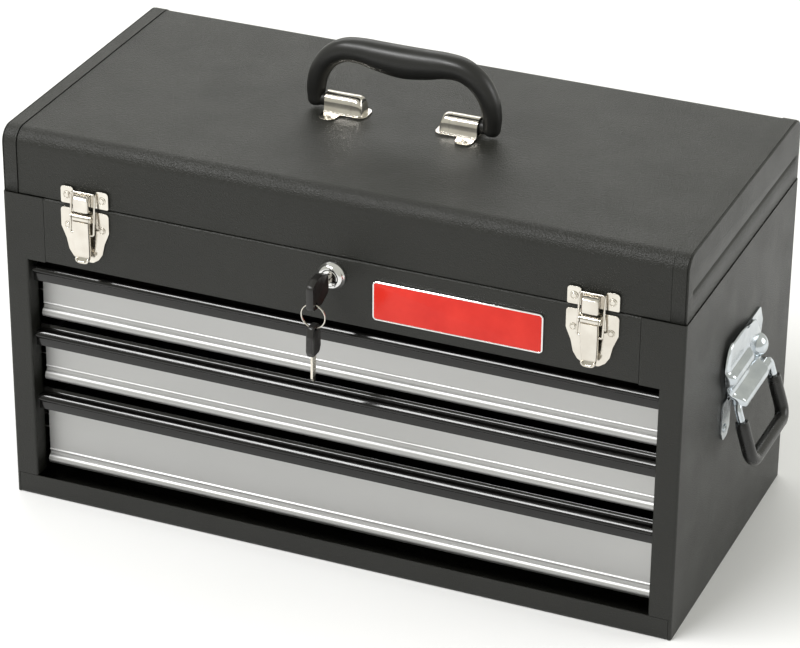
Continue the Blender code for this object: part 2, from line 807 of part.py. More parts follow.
def lock_barrel():
    """Chromed housing: domed head outside the panel, sleeve through it, open bore for the plug."""
    bore = PLUG_R + GAP
    profile = [
        (bore, LOCK_REAR_Y),
        (LOCK_BODY_R, LOCK_REAR_Y),
        (LOCK_BODY_R, FRONT_Y - GAP),
        (LOCK_HEAD_R, FRONT_Y - GAP),
        (LOCK_HEAD_R, FRONT_Y - 0.0018),
        (LOCK_HEAD_R - 0.0016, FRONT_Y - 0.0050),
        (LOCK_HEAD_R - 0.0030, LOCK_HEAD_Y),
        (bore, LOCK_HEAD_Y),
    ]
    finish_object("lock_barrel", turned(profile), "chrome")


def lock_nut():
    """Hexagon nut that clamps the barrel behind the panel."""
    start, end = FRONT_Y + SHEET + GAP, FRONT_Y + 0.006
    nut = finish_object("lock_nut", cylinder(0.0122, (0, start, LOCK_Z), (0, end, LOCK_Z), 6), "zinc")
    bore = cylinder(LOCK_BODY_R + GAP, (0, start - 0.001, LOCK_Z), (0, end + 0.001, LOCK_Z), 24)
    cut(nut, [bore])


def lock_plug(parent):
    front, rear = LOCK_HEAD_Y - 0.0004, LOCK_REAR_Y + 0.0010
    body = cylinder(PLUG_R, (0, front, LOCK_Z), (0, rear, LOCK_Z), 24)
    plug = finish_object("lock_plug", body, "chrome", parent)
    slot = box((-0.0014, front - 0.002, LOCK_Z - 0.0040), (0.0014, FRONT_Y + 0.0170, LOCK_Z + 0.0040))
    cut(plug, [slot])


def lock_cam(parent):
    """Flat cam behind the plug. It points up while the lock is open."""
    y = LOCK_REAR_Y + 0.0010 + GAP + 0.0007
    outline = circle_points((0, LOCK_Z), 0.0058, 180, 360, 8) + [
        (0.0048, LOCK_Z + CAM_REACH - 0.0015),
        (0.0033, LOCK_Z + CAM_REACH),
        (-0.0033, LOCK_Z + CAM_REACH),
        (-0.0048, LOCK_Z + CAM_REACH - 0.0015),
    ]
    place = Matrix.Translation((0, y, 0)) @ FACING_FRONT
    finish_object("lock_cam", flat_plate(outline, 0.0014, place), "zinc", parent)


def key_outline(long, wide):
    """Head of a key: a rounded shape a little wider at its far end, as (along, across)."""
    half = wide / 2
    return rounded_loop(
        [
            (0, -half * 0.62),
            (long * 0.45, -half),
            (long, -half),
            (long, half),
            (long * 0.45, half),
            (0, half * 0.62),
        ],
        0.004,
        2,
    )


def key_in_lock(parent):
    """Flat key with a plastic head. Its ring passes through a hole near the head's low front corner."""
    outline = [(KEY_HEAD_Y - a, LOCK_Z + b) for a, b in key_outline(KEY_HEAD_LONG, KEY_HEAD_HIGH)]
    head = flat_plate(outline, KEY_HEAD_THICK, FACING_RIGHT)
    key = finish_object("key_in_lock", head, "key_plastic", parent)
    blade = box(
        (-0.0010, KEY_HEAD_Y - 0.004, LOCK_Z - 0.0034), (0.0010, FRONT_Y + 0.0160, LOCK_Z + 0.0034)
    )
    join(key, [blade])
    hole = cylinder(0.0019, (-0.01, RING_Y, RING_Z + RING_R), (0.01, RING_Y, RING_Z + RING_R), 16)
    cut(key, [hole])


def key_ring(parent):
    angles = [2 * math.pi * i / 28 for i in range(28)]
    points = [(RING_R * math.sin(a), RING_Y, RING_Z + RING_R * math.cos(a)) for a in angles]
    finish_object("key_ring", tube(points, RING_WIRE_R, 1, closed=True), "nickel", parent)


def spare_key(parent):
    """The second key, hanging edge-on from the ring."""
    top = RING_Z - RING_R + 0.0024
    outline = [(RING_Y + b, top - a) for a, b in key_outline(SPARE_HEAD_LONG, SPARE_HEAD_WIDE)]
    head = flat_plate(outline, SPARE_HEAD_THICK, FACING_RIGHT)
    key = finish_object("spare_key", head, "key_plastic", parent)
    low = top - SPARE_HEAD_LONG
    tip = [
        (RING_Y - 0.0032, low + 0.003),
        (RING_Y - 0.0032, low - SPARE_BLADE + 0.003),
        (RING_Y, low - SPARE_BLADE),
        (RING_Y + 0.0032, low - SPARE_BLADE + 0.003),
        (RING_Y + 0.0032, low + 0.003),
    ]
    join(key, [flat_plate(tip, 0.0020, FACING_RIGHT)])
    hole = cylinder(0.0018, (-0.01, RING_Y, RING_Z - RING_R), (0.01, RING_Y, RING_Z - RING_R), 16)
    cut(key, [hole])


def lock_and_keys():
    lock_barrel()
    lock_nut()
    axis = joint_empty("lock_axis", (0, FRONT_Y, LOCK_Z))
    lock_plug(axis)
    lock_cam(axis)
    key_in_lock(axis)
    ring_axis = joint_empty("key_ring_axis", (0, RING_Y, RING_Z + RING_R))
    key_ring(ring_axis)
    spare_axis = joint_empty("spare_key_axis", (0, RING_Y, RING_Z - RING_R))
    spare_key(spare_axis)


# ---------------------------------------------------------------- drawers


def drawer(name, top, low):
    """Tray, bright front, black pull rail and two runners, all on one slide."""
    axis = joint_empty(f"drawer_{name}_slide", (0, FRONT_Y, (top + low) / 2))
    tray(name, top, low, axis)
    fascia(name, top, low, axis)
    pull_rail(name, top, axis)
    runners(name, top, low, axis)


def tray(name, top, low, axis):
    """Open box of bent sheet."""
    front, floor = FASCIA_Y + SHEET + BEAD_BACK + GAP, low + 0.0012
    rim = top - TRAY_BELOW_TOP
    outside = box((-TRAY_X, front, floor), (TRAY_X, TRAY_BACK_Y, rim))
    obj = finish_object(f"drawer_{name}_tray", outside, "black_powder_coat", axis)
    inside = box(
        (-TRAY_X + SHEET, front + SHEET, floor + SHEET), (TRAY_X - SHEET, TRAY_BACK_Y - SHEET, TOP_Z)
    )
    return cut(obj, [inside])


def fascia(name, top, low, axis):
    """Bright front sheet with a rolled bead along its foot and a lip under the pull rail."""
    y = FASCIA_Y
    bead = circle_points((y + 0.0008, low + 0.0044), 0.0040, 90, 270, 6)
    path = [(y, top - 0.0016), (y, low + 0.0128), (y - 0.0009, low + 0.0118), (y, low + 0.0108)] + bead
    return extruded_sheet(
        f"drawer_{name}_front", "satin_steel", path, -FRONT_X, FRONT_X, SHEET, offset=1.0, parent=axis
    )


def pull_rail(name, top, axis):
    """Full-width finger pull: a shelf from the front's top edge, a round nose and a hanging skirt."""
    nose = FRONT_Y + RAIL_SET_BACK
    inner = FASCIA_Y - GAP
    path = rounded(
        [
            (inner, top - 0.0060),
            (inner, top),
            (nose + 0.0035, top),
            (nose, top - 0.0042),
            (nose + 0.0020, top - 0.0078),
            (nose + 0.0020, top - RAIL_DROP),
        ],
        0.0022,
        2,
    )
    return extruded_sheet(
        f"drawer_{name}_pull", "gloss_black", path, -PULL_X, PULL_X, SHEET, offset=1.0, parent=axis
    )


def runners(name, top, low, axis):
    z = drawer_runner_z(top, low)
    for label, side in (("left", -1), ("right", 1)):
        inner = side * (TRAY_X + GAP)
        path = rounded(
            [
                (inner, z + 0.0042),
                (inner, z - SLIDE_HALF + SHEET + GAP),
                (inner + side * (SHEET + RUNNER_LIP), z - SLIDE_HALF + SHEET + GAP),
            ],
            BEND,
            1,
        )
        extruded_sheet(
            f"runner_{name}_{label}",
            "satin_steel",
            path,
            FASCIA_Y + 0.004,
            TRAY_BACK_Y - 0.002,
            SHEET,
            axis="Y",
            offset=-side,
            parent=axis,
        )


# ---------------------------------------------------------------- handles


def handle_bracket(name, side, parent):
    """Tunnel of bright sheet over the handle's pin, with riveted ears and a closed inner end."""
    base_z = WRAP_TOP_Z + GAP
    middle = base_z + BRACKET_SHEET / 2
    outer_r = TUNNEL_R + BRACKET_SHEET / 2
    arch = circle_points((0, PIN_AXIS_Z), outer_r, 180, 0, 10)
    profile = [(-0.0085, middle), (-outer_r - 0.0012, middle), (-outer_r, middle + 0.0016)]
    profile += arch
    profile += [(outer_r, middle + 0.0016), (outer_r + 0.0012, middle), (0.0085, middle)]
    low, high = sorted((side * BRACKET_IN_X, side * BRACKET_OUT_X))
    bracket = extruded_sheet(name, "nickel", profile, low, high, BRACKET_SHEET, offset=0.0, parent=parent)
    ears = []
    for front in (-1, 1):
        outline = [
            (side * 0.0465, front * 0.0070),
            (side * 0.0475, front * 0.0180),
            (side * 0.0510, front * 0.0208),
            (side * 0.0570, front * 0.0208),
            (side * 0.0598, front * 0.0180),
            (side * 0.0598, front * 0.0070),
        ]
        ears.append(flat_plate(outline, BRACKET_SHEET, Matrix.Translation((0, 0, middle))))
        head = (side * 0.0534, front * 0.0142, middle + BRACKET_SHEET / 2)
        ears.append(rivet(head, (0, 0, 1), 0.0027, 0.0010))
    end_x = side * BRACKET_IN_X
    dome = cylinder(outer_r, (end_x, 0, PIN_AXIS_Z), (end_x + side * 0.0010, 0, PIN_AXIS_Z), 20)
    web_low, web_high = sorted((end_x, end_x + side * 0.0010))
    web = box((web_low, -outer_r, middle - 0.0002), (web_high, outer_r, PIN_AXIS_Z))
    return join(bracket, ears + [dome, web])


def carry_handle(parent):
    """Moulded grip with a palm swell, round bosses on the joint's axis and pins into the brackets."""
    half = [Vector((x, 0, z)) for x, z, _ in GRIP]
    line = [Vector((-p.x, 0, p.z)) for p in half[:-1]] + half[::-1]
    widths = [r for _, _, r in GRIP]
    radii = widths[:-1] + widths[::-1]
    grip = finish_object("carry_handle", tube(line, 0.010, 3, radii), "handle_plastic", parent)
    adds = []
    for side in (-1, 1):
        x = side * GRIP[0][0]
        boss = GRIP[0][2]
        adds.append(cylinder(boss, (x - boss, 0, PIN_AXIS_Z), (x + boss, 0, PIN_AXIS_Z), 20))
        adds.append(
            cylinder(PIN_HANDLE_R, (side * (BRACKET_IN_X + 0.003), 0, PIN_AXIS_Z), (x, 0, PIN_AXIS_Z), 16)
        )
    return join(grip, adds)


def side_plate(name, side):
    """Zinc plate on the side wall: two ears below, notched front and rear, a barrel for the bail."""
    half = [
        (0.031, 0.1890),
        (0.039, 0.1780),
        (0.045, 0.1695),
        (0.041, 0.1605),
        (0.034, 0.1525),
        (0.044, 0.1455),
        (0.045, 0.1205),
        (0.040, 0.1140),
        (0.030, 0.1155),
        (0.026, 0.1315),
    ]
    outline = [(SIDE_Y + y, z) for y, z in half] + [(SIDE_Y - y, z) for y, z in half[::-1]]
    outline = rounded_loop(outline, 0.0025, 2)
    if side < 0:
        outline = outline[::-1]
    x = side * (HALF_W + GAP + PLATE_SHEET / 2)
    face = x + side * PLATE_SHEET / 2
    plate = finish_object(
        name, flat_plate(outline, PLATE_SHEET, Matrix.Translation((x, 0, 0)) @ FACING_RIGHT), "zinc"
    )
    axis_x, axis_z = side * BAIL_AXIS[0], BAIL_AXIS[1]
    barrel = BAIL_HALF - BARREL_END
    ends = [(axis_x, SIDE_Y + end * barrel, axis_z) for end in (-1, 1)]
    low, high = sorted((x, axis_x - side * (BAIL_R + 0.0006)))
    adds = [
        cylinder(SLEEVE_R, *ends, 20),
        box((low, SIDE_Y - barrel, axis_z - 0.0030), (high, SIDE_Y + barrel, axis_z + 0.0030)),
        cylinder(EMBOSS_R, (x, SIDE_Y - 0.040, EMBOSS_Z), (x, SIDE_Y + 0.020, EMBOSS_Z), 16),
        cylinder(DOME_R, (x, *DOME), (face + side * DOME_HEIGHT, *DOME), 20, DOME_R * 0.55),
    ]
    for end in (-1, 1):
        adds.append(rivet((face, SIDE_Y + end * 0.0385, EAR_RIVET_Z), (side, 0, 0), 0.0034))
    join(plate, adds)
    bore = [(axis_x, SIDE_Y + end * (barrel + 0.01), axis_z) for end in (-1, 1)]
    inside_wall = box((-HALF_W - GAP, SIDE_Y - 0.06, 0.10), (HALF_W + GAP, SIDE_Y + 0.06, 0.20))
    return cut(plate, [cylinder(BAIL_R + GAP, *bore, 16), inside_wall])


def bail_points(side, lift_r):
    """The bail's line: inner end on the axis, down one leg, along the bottom and back."""
    axis_x, axis_z = BAIL_AXIS
    foot_x = side * (axis_x + BAIL_DROP * math.sin(BAIL_TILT))
    foot_z = axis_z - BAIL_DROP * math.cos(BAIL_TILT)
    ends = []
    for end in (-1, 1):
        pin = (side * axis_x, SIDE_Y + end * (BAIL_HALF - 0.0180), axis_z)
        top = (side * axis_x, SIDE_Y + end * BAIL_HALF, axis_z)
        foot = (foot_x, SIDE_Y + end * BAIL_HALF, foot_z)
        ends.append([pin, top, foot])
    corners = ends[0] + ends[1][::-1]
    return rounded(corners, lift_r, 4)


def side_handles():
    for label, side in (("left", -1), ("right", 1)):
        side_plate(f"side_handle_plate_{label}", side)
        axis = joint_empty(f"bail_axis_{label}", (side * BAIL_AXIS[0], SIDE_Y, BAIL_AXIS[1]))
        line = bail_points(side, 0.0080)
        finish_object(f"bail_{label}", tube(line, BAIL_R, 2), "zinc", axis)
        bail_grip(f"bail_grip_{label}", side, line, axis)


def bail_grip(name, side, line, axis):
    """Vinyl sleeve over the bail's lower corners and bottom run."""
    split = BAIL_AXIS[1] - 0.027
    low = [Vector(p) for p in line if p[2] < split + 0.0001]
    first, last = low[0], low[-1]
    up = Vector((-side * math.sin(BAIL_TILT), 0, math.cos(BAIL_TILT)))
    reach = 0.014
    path = [first + up * reach] + low + [last + up * reach]
    grip = finish_object(name, tube(path, GRIP_R, 2), "vinyl", axis)
    core = [first + up * (reach + 0.004)] + low + [last + up * (reach + 0.004)]
    bore = tube(core, BAIL_R + GAP, 2)
    return cut(grip, [bore])


def badge_plate():
    """Blank enamelled plate."""
    low_x, low_z, high_x, high_z = BADGE
    outline = rounded_loop([(low_x, low_z), (high_x, low_z), (high_x, high_z), (low_x, high_z)], 0.003, 3)
    y = FRONT_Y - GAP - 0.0006
    place = Matrix.Translation((0, y, 0)) @ FACING_FRONT
    finish_object("badge_plate", flat_plate(outline, 0.0012, place), "badge_enamel")


# ---------------------------------------------------------------- build


def build():
    side_panel("side_panel_left", -1)
    side_panel("side_panel_right", 1)
    back_panel()
    base_pan()
    front_top_panel()
    till_floor()
    slide_rails()
    hinge_leaf("hinge_leaf_lower", False, None)
    hinge_pin()
    badge_plate()

    lid = joint_empty("lid_axis", (0, HINGE_Y, HINGE_Z))
    hinge_leaf("hinge_leaf_upper", True, lid)
    lid_shell(lid)
    lid_end_cap("lid_end_cap_left", -1, lid)
    lid_end_cap("lid_end_cap_right", 1, lid)
    lid_catch(lid)
    handle_bracket("handle_bracket_left", -1, lid)
    handle_bracket("handle_bracket_right", 1, lid)
    carry_handle(joint_empty("carry_handle_axis", (0, 0, PIN_AXIS_Z)))

    latches(lid)
    lock_and_keys()
    for name, top, low in DRAWERS:
        drawer(name, top, low)
    side_handles()


build()
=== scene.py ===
import math

import bmesh
import bpy
from mathutils import Matrix, Vector


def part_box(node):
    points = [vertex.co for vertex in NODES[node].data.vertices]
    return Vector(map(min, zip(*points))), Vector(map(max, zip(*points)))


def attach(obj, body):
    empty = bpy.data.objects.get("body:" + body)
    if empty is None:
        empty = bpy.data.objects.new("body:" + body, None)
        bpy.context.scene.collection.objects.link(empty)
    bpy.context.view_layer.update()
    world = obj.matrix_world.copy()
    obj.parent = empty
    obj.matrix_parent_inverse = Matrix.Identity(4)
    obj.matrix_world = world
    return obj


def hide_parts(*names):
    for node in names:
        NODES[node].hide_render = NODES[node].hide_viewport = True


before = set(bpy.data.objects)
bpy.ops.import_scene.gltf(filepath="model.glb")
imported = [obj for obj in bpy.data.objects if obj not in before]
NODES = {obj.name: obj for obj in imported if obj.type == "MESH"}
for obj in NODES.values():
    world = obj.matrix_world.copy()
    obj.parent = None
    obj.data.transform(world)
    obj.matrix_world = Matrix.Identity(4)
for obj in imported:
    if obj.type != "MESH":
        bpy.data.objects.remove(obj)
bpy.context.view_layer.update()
SCENE = bpy.context.scene
MM = 0.001

# ---------------------------------------------------------------- camera, light and floor

camera_data = bpy.data.cameras.new("camera")
camera_data.lens = 155.2
camera_data.sensor_width = 36
camera_data.clip_end = 50
camera = bpy.data.objects.new("camera", camera_data)
SCENE.collection.objects.link(camera)
SCENE.camera = camera
camera_axes = ((0.92123, 0.38895, 0.00755), (-0.18869, 0.42978, 0.88300), (0.34020, -0.81487, 0.46932))
camera_place = Matrix(camera_axes).transposed().to_4x4()
camera_place.translation = (0.872, -2.092, 1.341)
camera.matrix_world = camera_place

world = bpy.data.worlds.new("studio")
SCENE.world = world
world.use_nodes = True
background = world.node_tree.nodes["Background"]
background.inputs["Color"].default_value = (1.0, 1.0, 0.90, 1)
background.inputs["Strength"].default_value = 0.62
SCENE.view_settings.view_transform = "Standard"


def softbox(name, place, target, width, height, power):
    data = bpy.data.lights.new(name, "AREA")
    data.shape = "RECTANGLE"
    data.size = width
    data.size_y = height
    data.energy = power
    light = bpy.data.objects.new(name, data)
    SCENE.collection.objects.link(light)
    light.location = place
    light.rotation_euler = (Vector(target) - Vector(place)).to_track_quat("-Z", "Y").to_euler()


softbox("strip_softbox", (-0.80, -1.15, 1.95), (0, -0.1, 0.2), 1.8, 0.32, 42)
softbox("rear_softbox", (-0.9, 2.0, 1.5), (0, 0, 0.2), 2.4, 1.0, 15)
softbox("side_softbox", (2.4, 0.9, 1.1), (0.26, 0, 0.2), 1.4, 1.2, 19)


# ---------------------------------------------------------------- materials


def noise(tree, coord, scale, detail=2.0, stretch=None):
    vector = coord.outputs["Object"]
    if stretch is not None:
        mapping = tree.nodes.new("ShaderNodeMapping")
        mapping.inputs["Scale"].default_value = stretch
        tree.links.new(vector, mapping.inputs["Vector"])
        vector = mapping.outputs["Vector"]
    node = tree.nodes.new("ShaderNodeTexNoise")
    node.inputs["Scale"].default_value = scale
    node.inputs["Detail"].default_value = detail
    tree.links.new(vector, node.inputs["Vector"])
    return node


def spread(tree, source, low, high):
    node = tree.nodes.new("ShaderNodeMapRange")
    node.inputs["From Min"].default_value = 0.3
    node.inputs["From Max"].default_value = 0.7
    node.inputs["To Min"].default_value = low
    node.inputs["To Max"].default_value = high
    tree.links.new(source.outputs["Fac"], node.inputs["Value"])
    return node


def material(name, dark, light, rough, metallic=0.0, cloud=14.0, bumps=(), sheen=0.0, coat=0.0, ior=1.5,
             stretch=None):
    """A finish: colour and roughness drift over the surface, and one bump for each kind of grain."""
    made = bpy.data.materials.new(name)
    made.use_nodes = True
    tree = made.node_tree
    shader = tree.nodes["Principled BSDF"]
    shader.inputs["Metallic"].default_value = metallic
    shader.inputs["IOR"].default_value = ior
    if sheen:
        shader.inputs["Sheen Weight"].default_value = sheen
    if coat:
        shader.inputs["Coat Weight"].default_value = coat
        shader.inputs["Coat Roughness"].default_value = 0.12
    coord = tree.nodes.new("ShaderNodeTexCoord")
    drift = noise(tree, coord, cloud, 4.0, stretch)
    ramp = tree.nodes.new("ShaderNodeValToRGB")
    ramp.color_ramp.elements[0].position = 0.3
    ramp.color_ramp.elements[0].color = (*dark, 1)
    ramp.color_ramp.elements[1].position = 0.7
    ramp.color_ramp.elements[1].color = (*light, 1)
    tree.links.new(drift.outputs["Fac"], ramp.inputs["Fac"])
    tree.links.new(ramp.outputs["Color"], shader.inputs["Base Color"])
    wear = noise(tree, coord, cloud * 3.1, 3.0, stretch)
    tree.links.new(spread(tree, wear, *rough).outputs["Result"], shader.inputs["Roughness"])
    normal = None
    for scale, strength, distance, squeeze in bumps:
        grain = noise(tree, coord, scale, 2.0, squeeze)
        bump = tree.nodes.new("ShaderNodeBump")
        bump.inputs["Strength"].default_value = strength
        bump.inputs["Distance"].default_value = distance
        tree.links.new(grain.outputs["Fac"], bump.inputs["Height"])
        if normal is not None:
            tree.links.new(normal.outputs["Normal"], bump.inputs["Normal"])
        normal = bump
    if normal is not None:
        tree.links.new(normal.outputs["Normal"], shader.inputs["Normal"])
    return made


POWDER = material(
    "powder_coat", (0.0085, 0.0088, 0.0070), (0.0120, 0.0123, 0.0101), (0.36, 0.43), cloud=9.0,
    bumps=((1000.0, 1.0, 0.0006, None), (1900.0, 0.45, 0.0003, None)), ior=1.43,
)
INNER = material(
    "inner_paint", (0.016, 0.016, 0.015), (0.021, 0.021, 0.020), (0.45, 0.58), cloud=9.0,
    bumps=((950.0, 0.4, 0.0003, None),), ior=1.5,
)
GLOSS = material(
    "gloss_black", (0.0030, 0.0029, 0.0027), (0.0045, 0.0042, 0.0040), (0.10, 0.15), cloud=20.0,
    bumps=((190.0, 0.04, 0.0002, None),), ior=1.45,
)
SATIN = material(
    "satin_silver", (0.440, 0.440, 0.438), (0.490, 0.490, 0.486), (0.40, 0.50), 1.0, cloud=5.0,
    bumps=((700.0, 0.10, 0.00008, (0.03, 1.0, 1.0)), (1500.0, 0.05, 0.00005, None)),
    stretch=(0.35, 1.0, 1.0),
)
SLIDE = material(
    "slide_steel", (0.42, 0.42, 0.41), (0.52, 0.52, 0.51), (0.30, 0.45), 1.0, cloud=30.0,
    bumps=((600.0, 0.10, 0.0001, (1.0, 0.05, 1.0)),),
)
NICKEL = material(
    "bright_nickel", (0.60, 0.56, 0.50), (0.72, 0.69, 0.63), (0.12, 0.22), 1.0, cloud=60.0,
    bumps=((420.0, 0.10, 0.00012, None),),
)
ZINC = material(
    "zinc_plate", (0.52, 0.56, 0.60), (0.66, 0.70, 0.73), (0.14, 0.24), 1.0, cloud=70.0,
    bumps=((380.0, 0.05, 0.00012, None),),
)
CHROME = material(
    "chrome_plate", (0.74, 0.74, 0.74), (0.80, 0.80, 0.80), (0.05, 0.10), 1.0, cloud=90.0,
    bumps=((300.0, 0.04, 0.0001, None),),
)
PLASTIC = material(
    "moulded_plastic", (0.0080, 0.0080, 0.0075), (0.0110, 0.0110, 0.0104), (0.32, 0.42), cloud=30.0,
    bumps=((1400.0, 0.22, 0.00015, None),), ior=1.48,
)
KEY_BLACK = material(
    "key_plastic", (0.0090, 0.0085, 0.0080), (0.0130, 0.0122, 0.0116), (0.30, 0.42), cloud=120.0,
    bumps=((1800.0, 0.25, 0.0001, None),),
)
KEY_STEEL = material(
    "key_blade", (0.66, 0.62, 0.54), (0.78, 0.74, 0.66), (0.20, 0.30), 1.0, cloud=160.0,
    bumps=((800.0, 0.12, 0.0001, None),),
)
VINYL = material(
    "vinyl_grip", (0.0070, 0.0070, 0.0070), (0.0110, 0.0110, 0.0108), (0.24, 0.34), cloud=60.0,
    bumps=((500.0, 0.12, 0.0002, None),), sheen=0.05,
)
ENAMEL = material(
    "red_enamel", (0.60, 0.018, 0.010), (0.68, 0.028, 0.016), (0.16, 0.24), cloud=60.0,
    bumps=((400.0, 0.05, 0.0001, None),), ior=1.35,
)
FLOOR = material(
    "studio_floor", (0.93, 0.93, 0.945), (0.945, 0.945, 0.96), (0.55, 0.65), cloud=2.0,
    bumps=((60.0, 0.02, 0.0005, None),),
)

bpy.ops.mesh.primitive_plane_add(size=9, location=(0, 0, -0.0002))
floor = bpy.context.object
floor.name = "floor"
floor.data.materials.append(FLOOR)

FINISH_OF_NODE = {}
for node_name in NODES:
    if node_name.startswith(("slide_rail", "runner", "hinge")):
        FINISH_OF_NODE[node_name] = SLIDE
    elif node_name in ("lock_nut", "lock_cam", "lid_catch"):
        FINISH_OF_NODE[node_name] = ZINC
    elif node_name.endswith("_tray") or node_name == "till_floor":
        FINISH_OF_NODE[node_name] = INNER
    else:
        FINISH_OF_NODE[node_name] = POWDER
for node_name, node in NODES.items():
    for place in node.material_slots:
        place.material = FINISH_OF_NODE[node_name]


# ---------------------------------------------------------------- shape helpers


def along_x(a, b, s):
    return (s, a, b)


def along_y(a, b, s):
    return (a, s, b)


def along_z(a, b, s):
    return (a, b, s)


def box_of(node_name):
    low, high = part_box(node_name)
    return Vector(low), Vector(high)


def piece(name, bm, finish, body, replaced=(), bevel=0.0, segments=2, sharp=32, solid=0.0):
    """Makes an object of a bmesh whose points are in the frame, and ties it to its body."""
    bmesh.ops.recalc_face_normals(bm, faces=bm.faces)
    mesh = bpy.data.meshes.new(name)
    bm.to_mesh(mesh)
    bm.free()
    mesh.materials.append(finish)
    mesh.shade_smooth()
    mesh.set_sharp_from_angle(angle=math.radians(sharp))
    made = bpy.data.objects.new(name, mesh)
    SCENE.collection.objects.link(made)
    if solid:
        modifier = made.modifiers.new("sheet", "SOLIDIFY")
        modifier.thickness = solid
        modifier.offset = -1
    if bevel:
        modifier = made.modifiers.new("edges", "BEVEL")
        modifier.width = bevel
        modifier.segments = segments
        modifier.limit_method = "ANGLE"
        modifier.angle_limit = math.radians(40)
        modifier.harden_normals = True
    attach(made, body)
    if replaced:
        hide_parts(*replaced)
    return made


def rings(bm, loops, caps=True, closed=False):
    """Quads between closed loops of equal length, with a face over each end."""
    rows = [[bm.verts.new(p) for p in loop] for loop in loops]
    pairs = list(zip(rows, rows[1:]))
    if closed:
        pairs.append((rows[-1], rows[0]))
    for a, b in pairs:
        for i in range(len(a)):
            j = (i + 1) % len(a)
            bm.faces.new((a[i], a[j], b[j], b[i]))
    if caps and not closed:
        bm.faces.new(rows[0][::-1])
        bm.faces.new(rows[-1])
    return rows


def prism(bm, outline, start, end, place):
    rings(bm, [[place(a, b, s) for a, b in outline] for s in (start, end)])


def arc(centre, radius, start, end, steps, squash=1.0):
    """Points of an arc, angles in degrees."""
    points = []
    for i in range(steps + 1):
        a = math.radians(start + (end - start) * i / steps)
        points.append((centre[0] + radius * math.cos(a), centre[1] + radius * squash * math.sin(a)))
    return points


def rounded(points, radii, steps=5, closed=True):
    """A polyline whose corners are replaced by arcs."""
    count = len(points)
    points = [Vector(p) for p in points]
    if isinstance(radii, float):
        radii = [radii] * count
    out = []
    for i, here in enumerate(points):
        if not closed and i in (0, count - 1):
            out.append(here)
            continue
        into = points[i - 1] - here
        away = points[(i + 1) % count] - here
        half = into.angle(away) / 2
        if half > 1.55 or radii[i] < 1e-7:
            out.append(here)
            continue
        reach = min(radii[i] / math.tan(half), into.length * 0.49, away.length * 0.49)
        into.normalize()
        away.normalize()
        centre = here + (into + away).normalized() * reach / math.cos(half)
        start, end = here + into * reach - centre, here + away * reach - centre
        turn = start.angle(end)
        for k in range(steps + 1):
            t = k / steps
            arm = start * math.sin((1 - t) * turn) + end * math.sin(t * turn)
            out.append(centre + arm / math.sin(turn))
    return out


def smooth_path(points, steps=6):
    """A Catmull-Rom curve through points of any dimension."""
    points = [Vector(p) for p in points]
    out = []
    for i in range(len(points) - 1):
        p0 = points[max(i - 1, 0)]
        p1, p2 = points[i], points[i + 1]
        p3 = points[min(i + 2, len(points) - 1)]
        for k in range(steps):
            t = k / steps
            out.append(
                0.5 * (2 * p1 + (p2 - p0) * t + (2 * p0 - 5 * p1 + 4 * p2 - p3) * t * t
                       + (3 * p1 - p0 - 3 * p2 + p3) * t ** 3)
            )
    out.append(points[-1])
    return out


def tube(bm, points, radii, around=20, closed=False, round_ends=0):
    """A round bar along 3-D points, with flat or rounded ends."""
    points = [Vector(p) for p in points]
    if isinstance(radii, float):
        radii = [radii] * len(points)
    count = len(points)
    tangents = []
    for i in range(count):
        if closed:
            step = points[(i + 1) % count] - points[i - 1]
        else:
            step = points[min(i + 1, count - 1)] - points[max(i - 1, 0)]
        tangents.append(step.normalized())
    side = tangents[0].orthogonal().normalized()
    loops = []
    for i, (point, tangent, radius) in enumerate(zip(points, tangents, radii)):
        if i:
            side = side - tangent * side.dot(tangent)
            side.normalize()
        other = tangent.cross(side)
        turns = [2 * math.pi * k / around for k in range(around)]
        ring = [point + (side * math.cos(a) + other * math.sin(a)) * radius for a in turns]
        if i == 0 and round_ends and not closed:
            loops += end_rings(ring, point, -tangent, radius, round_ends)[::-1]
        loops.append(ring)
        if i == count - 1 and round_ends and not closed:
            loops += end_rings(ring, point, tangent, radius, round_ends)
    rings(bm, loops, closed=closed)


def end_rings(ring, centre, outward, radius, steps):
    """The shrinking rings of a rounded end."""
    out = []
    for k in range(1, steps + 1):
        a = math.pi / 2 * k / (steps + 0.35)
        out.append([centre + (p - centre) * math.cos(a) + outward * radius * math.sin(a) for p in ring])
    return out


def turned(bm, profile, origin, axis, around=36, closed=False):
    """A solid of revolution. The profile is (radius, distance along the axis)."""
    turn = Vector((0, 0, 1)).rotation_difference(Vector(axis)).to_matrix()
    loops = []
    for radius, along in profile:
        loop = []
        for k in range(around):
            a = 2 * math.pi * k / around
            loop.append(Vector(origin) + turn @ Vector((radius * math.cos(a), radius * math.sin(a), along)))
        loops.append(loop)
    rings(bm, loops, closed=closed)


def rivet(bm, centre, axis, radius, height, ring=False):
    """A domed rivet head, with a flat rim where it has one."""
    profile = [(radius, -0.0003), (radius, height * 0.35), (radius * 0.93, height * 0.62)]
    if ring:
        profile += [(radius * 0.80, height * 0.62), (radius * 0.74, height * 0.30)]
        profile += [(radius * 0.66, height * 0.30), (radius * 0.60, height * 0.75)]
    profile += [(radius * 0.55, height * 0.90), (radius * 0.30, height * 0.98), (radius * 0.06, height)]
    turned(bm, profile, centre, axis, 24)


FRONT_Y = box_of("side_panel_right")[0].y
WALL_X = box_of("side_panel_right")[1].x
SIDES = (("left", -1), ("right", 1))


# ---------------------------------------------------------------- lid


def lid_section(front, back, top, radius, low_front, low_back, steps=12):
    points = [Vector((front, low_front))]
    points += [Vector(p) for p in arc((front + radius, top - radius), radius, 180, 90, steps)]
    points += [Vector(p) for p in arc((back - radius, top - radius), radius, 90, 0, steps)]
    points.append(Vector((back, low_back)))
    return points


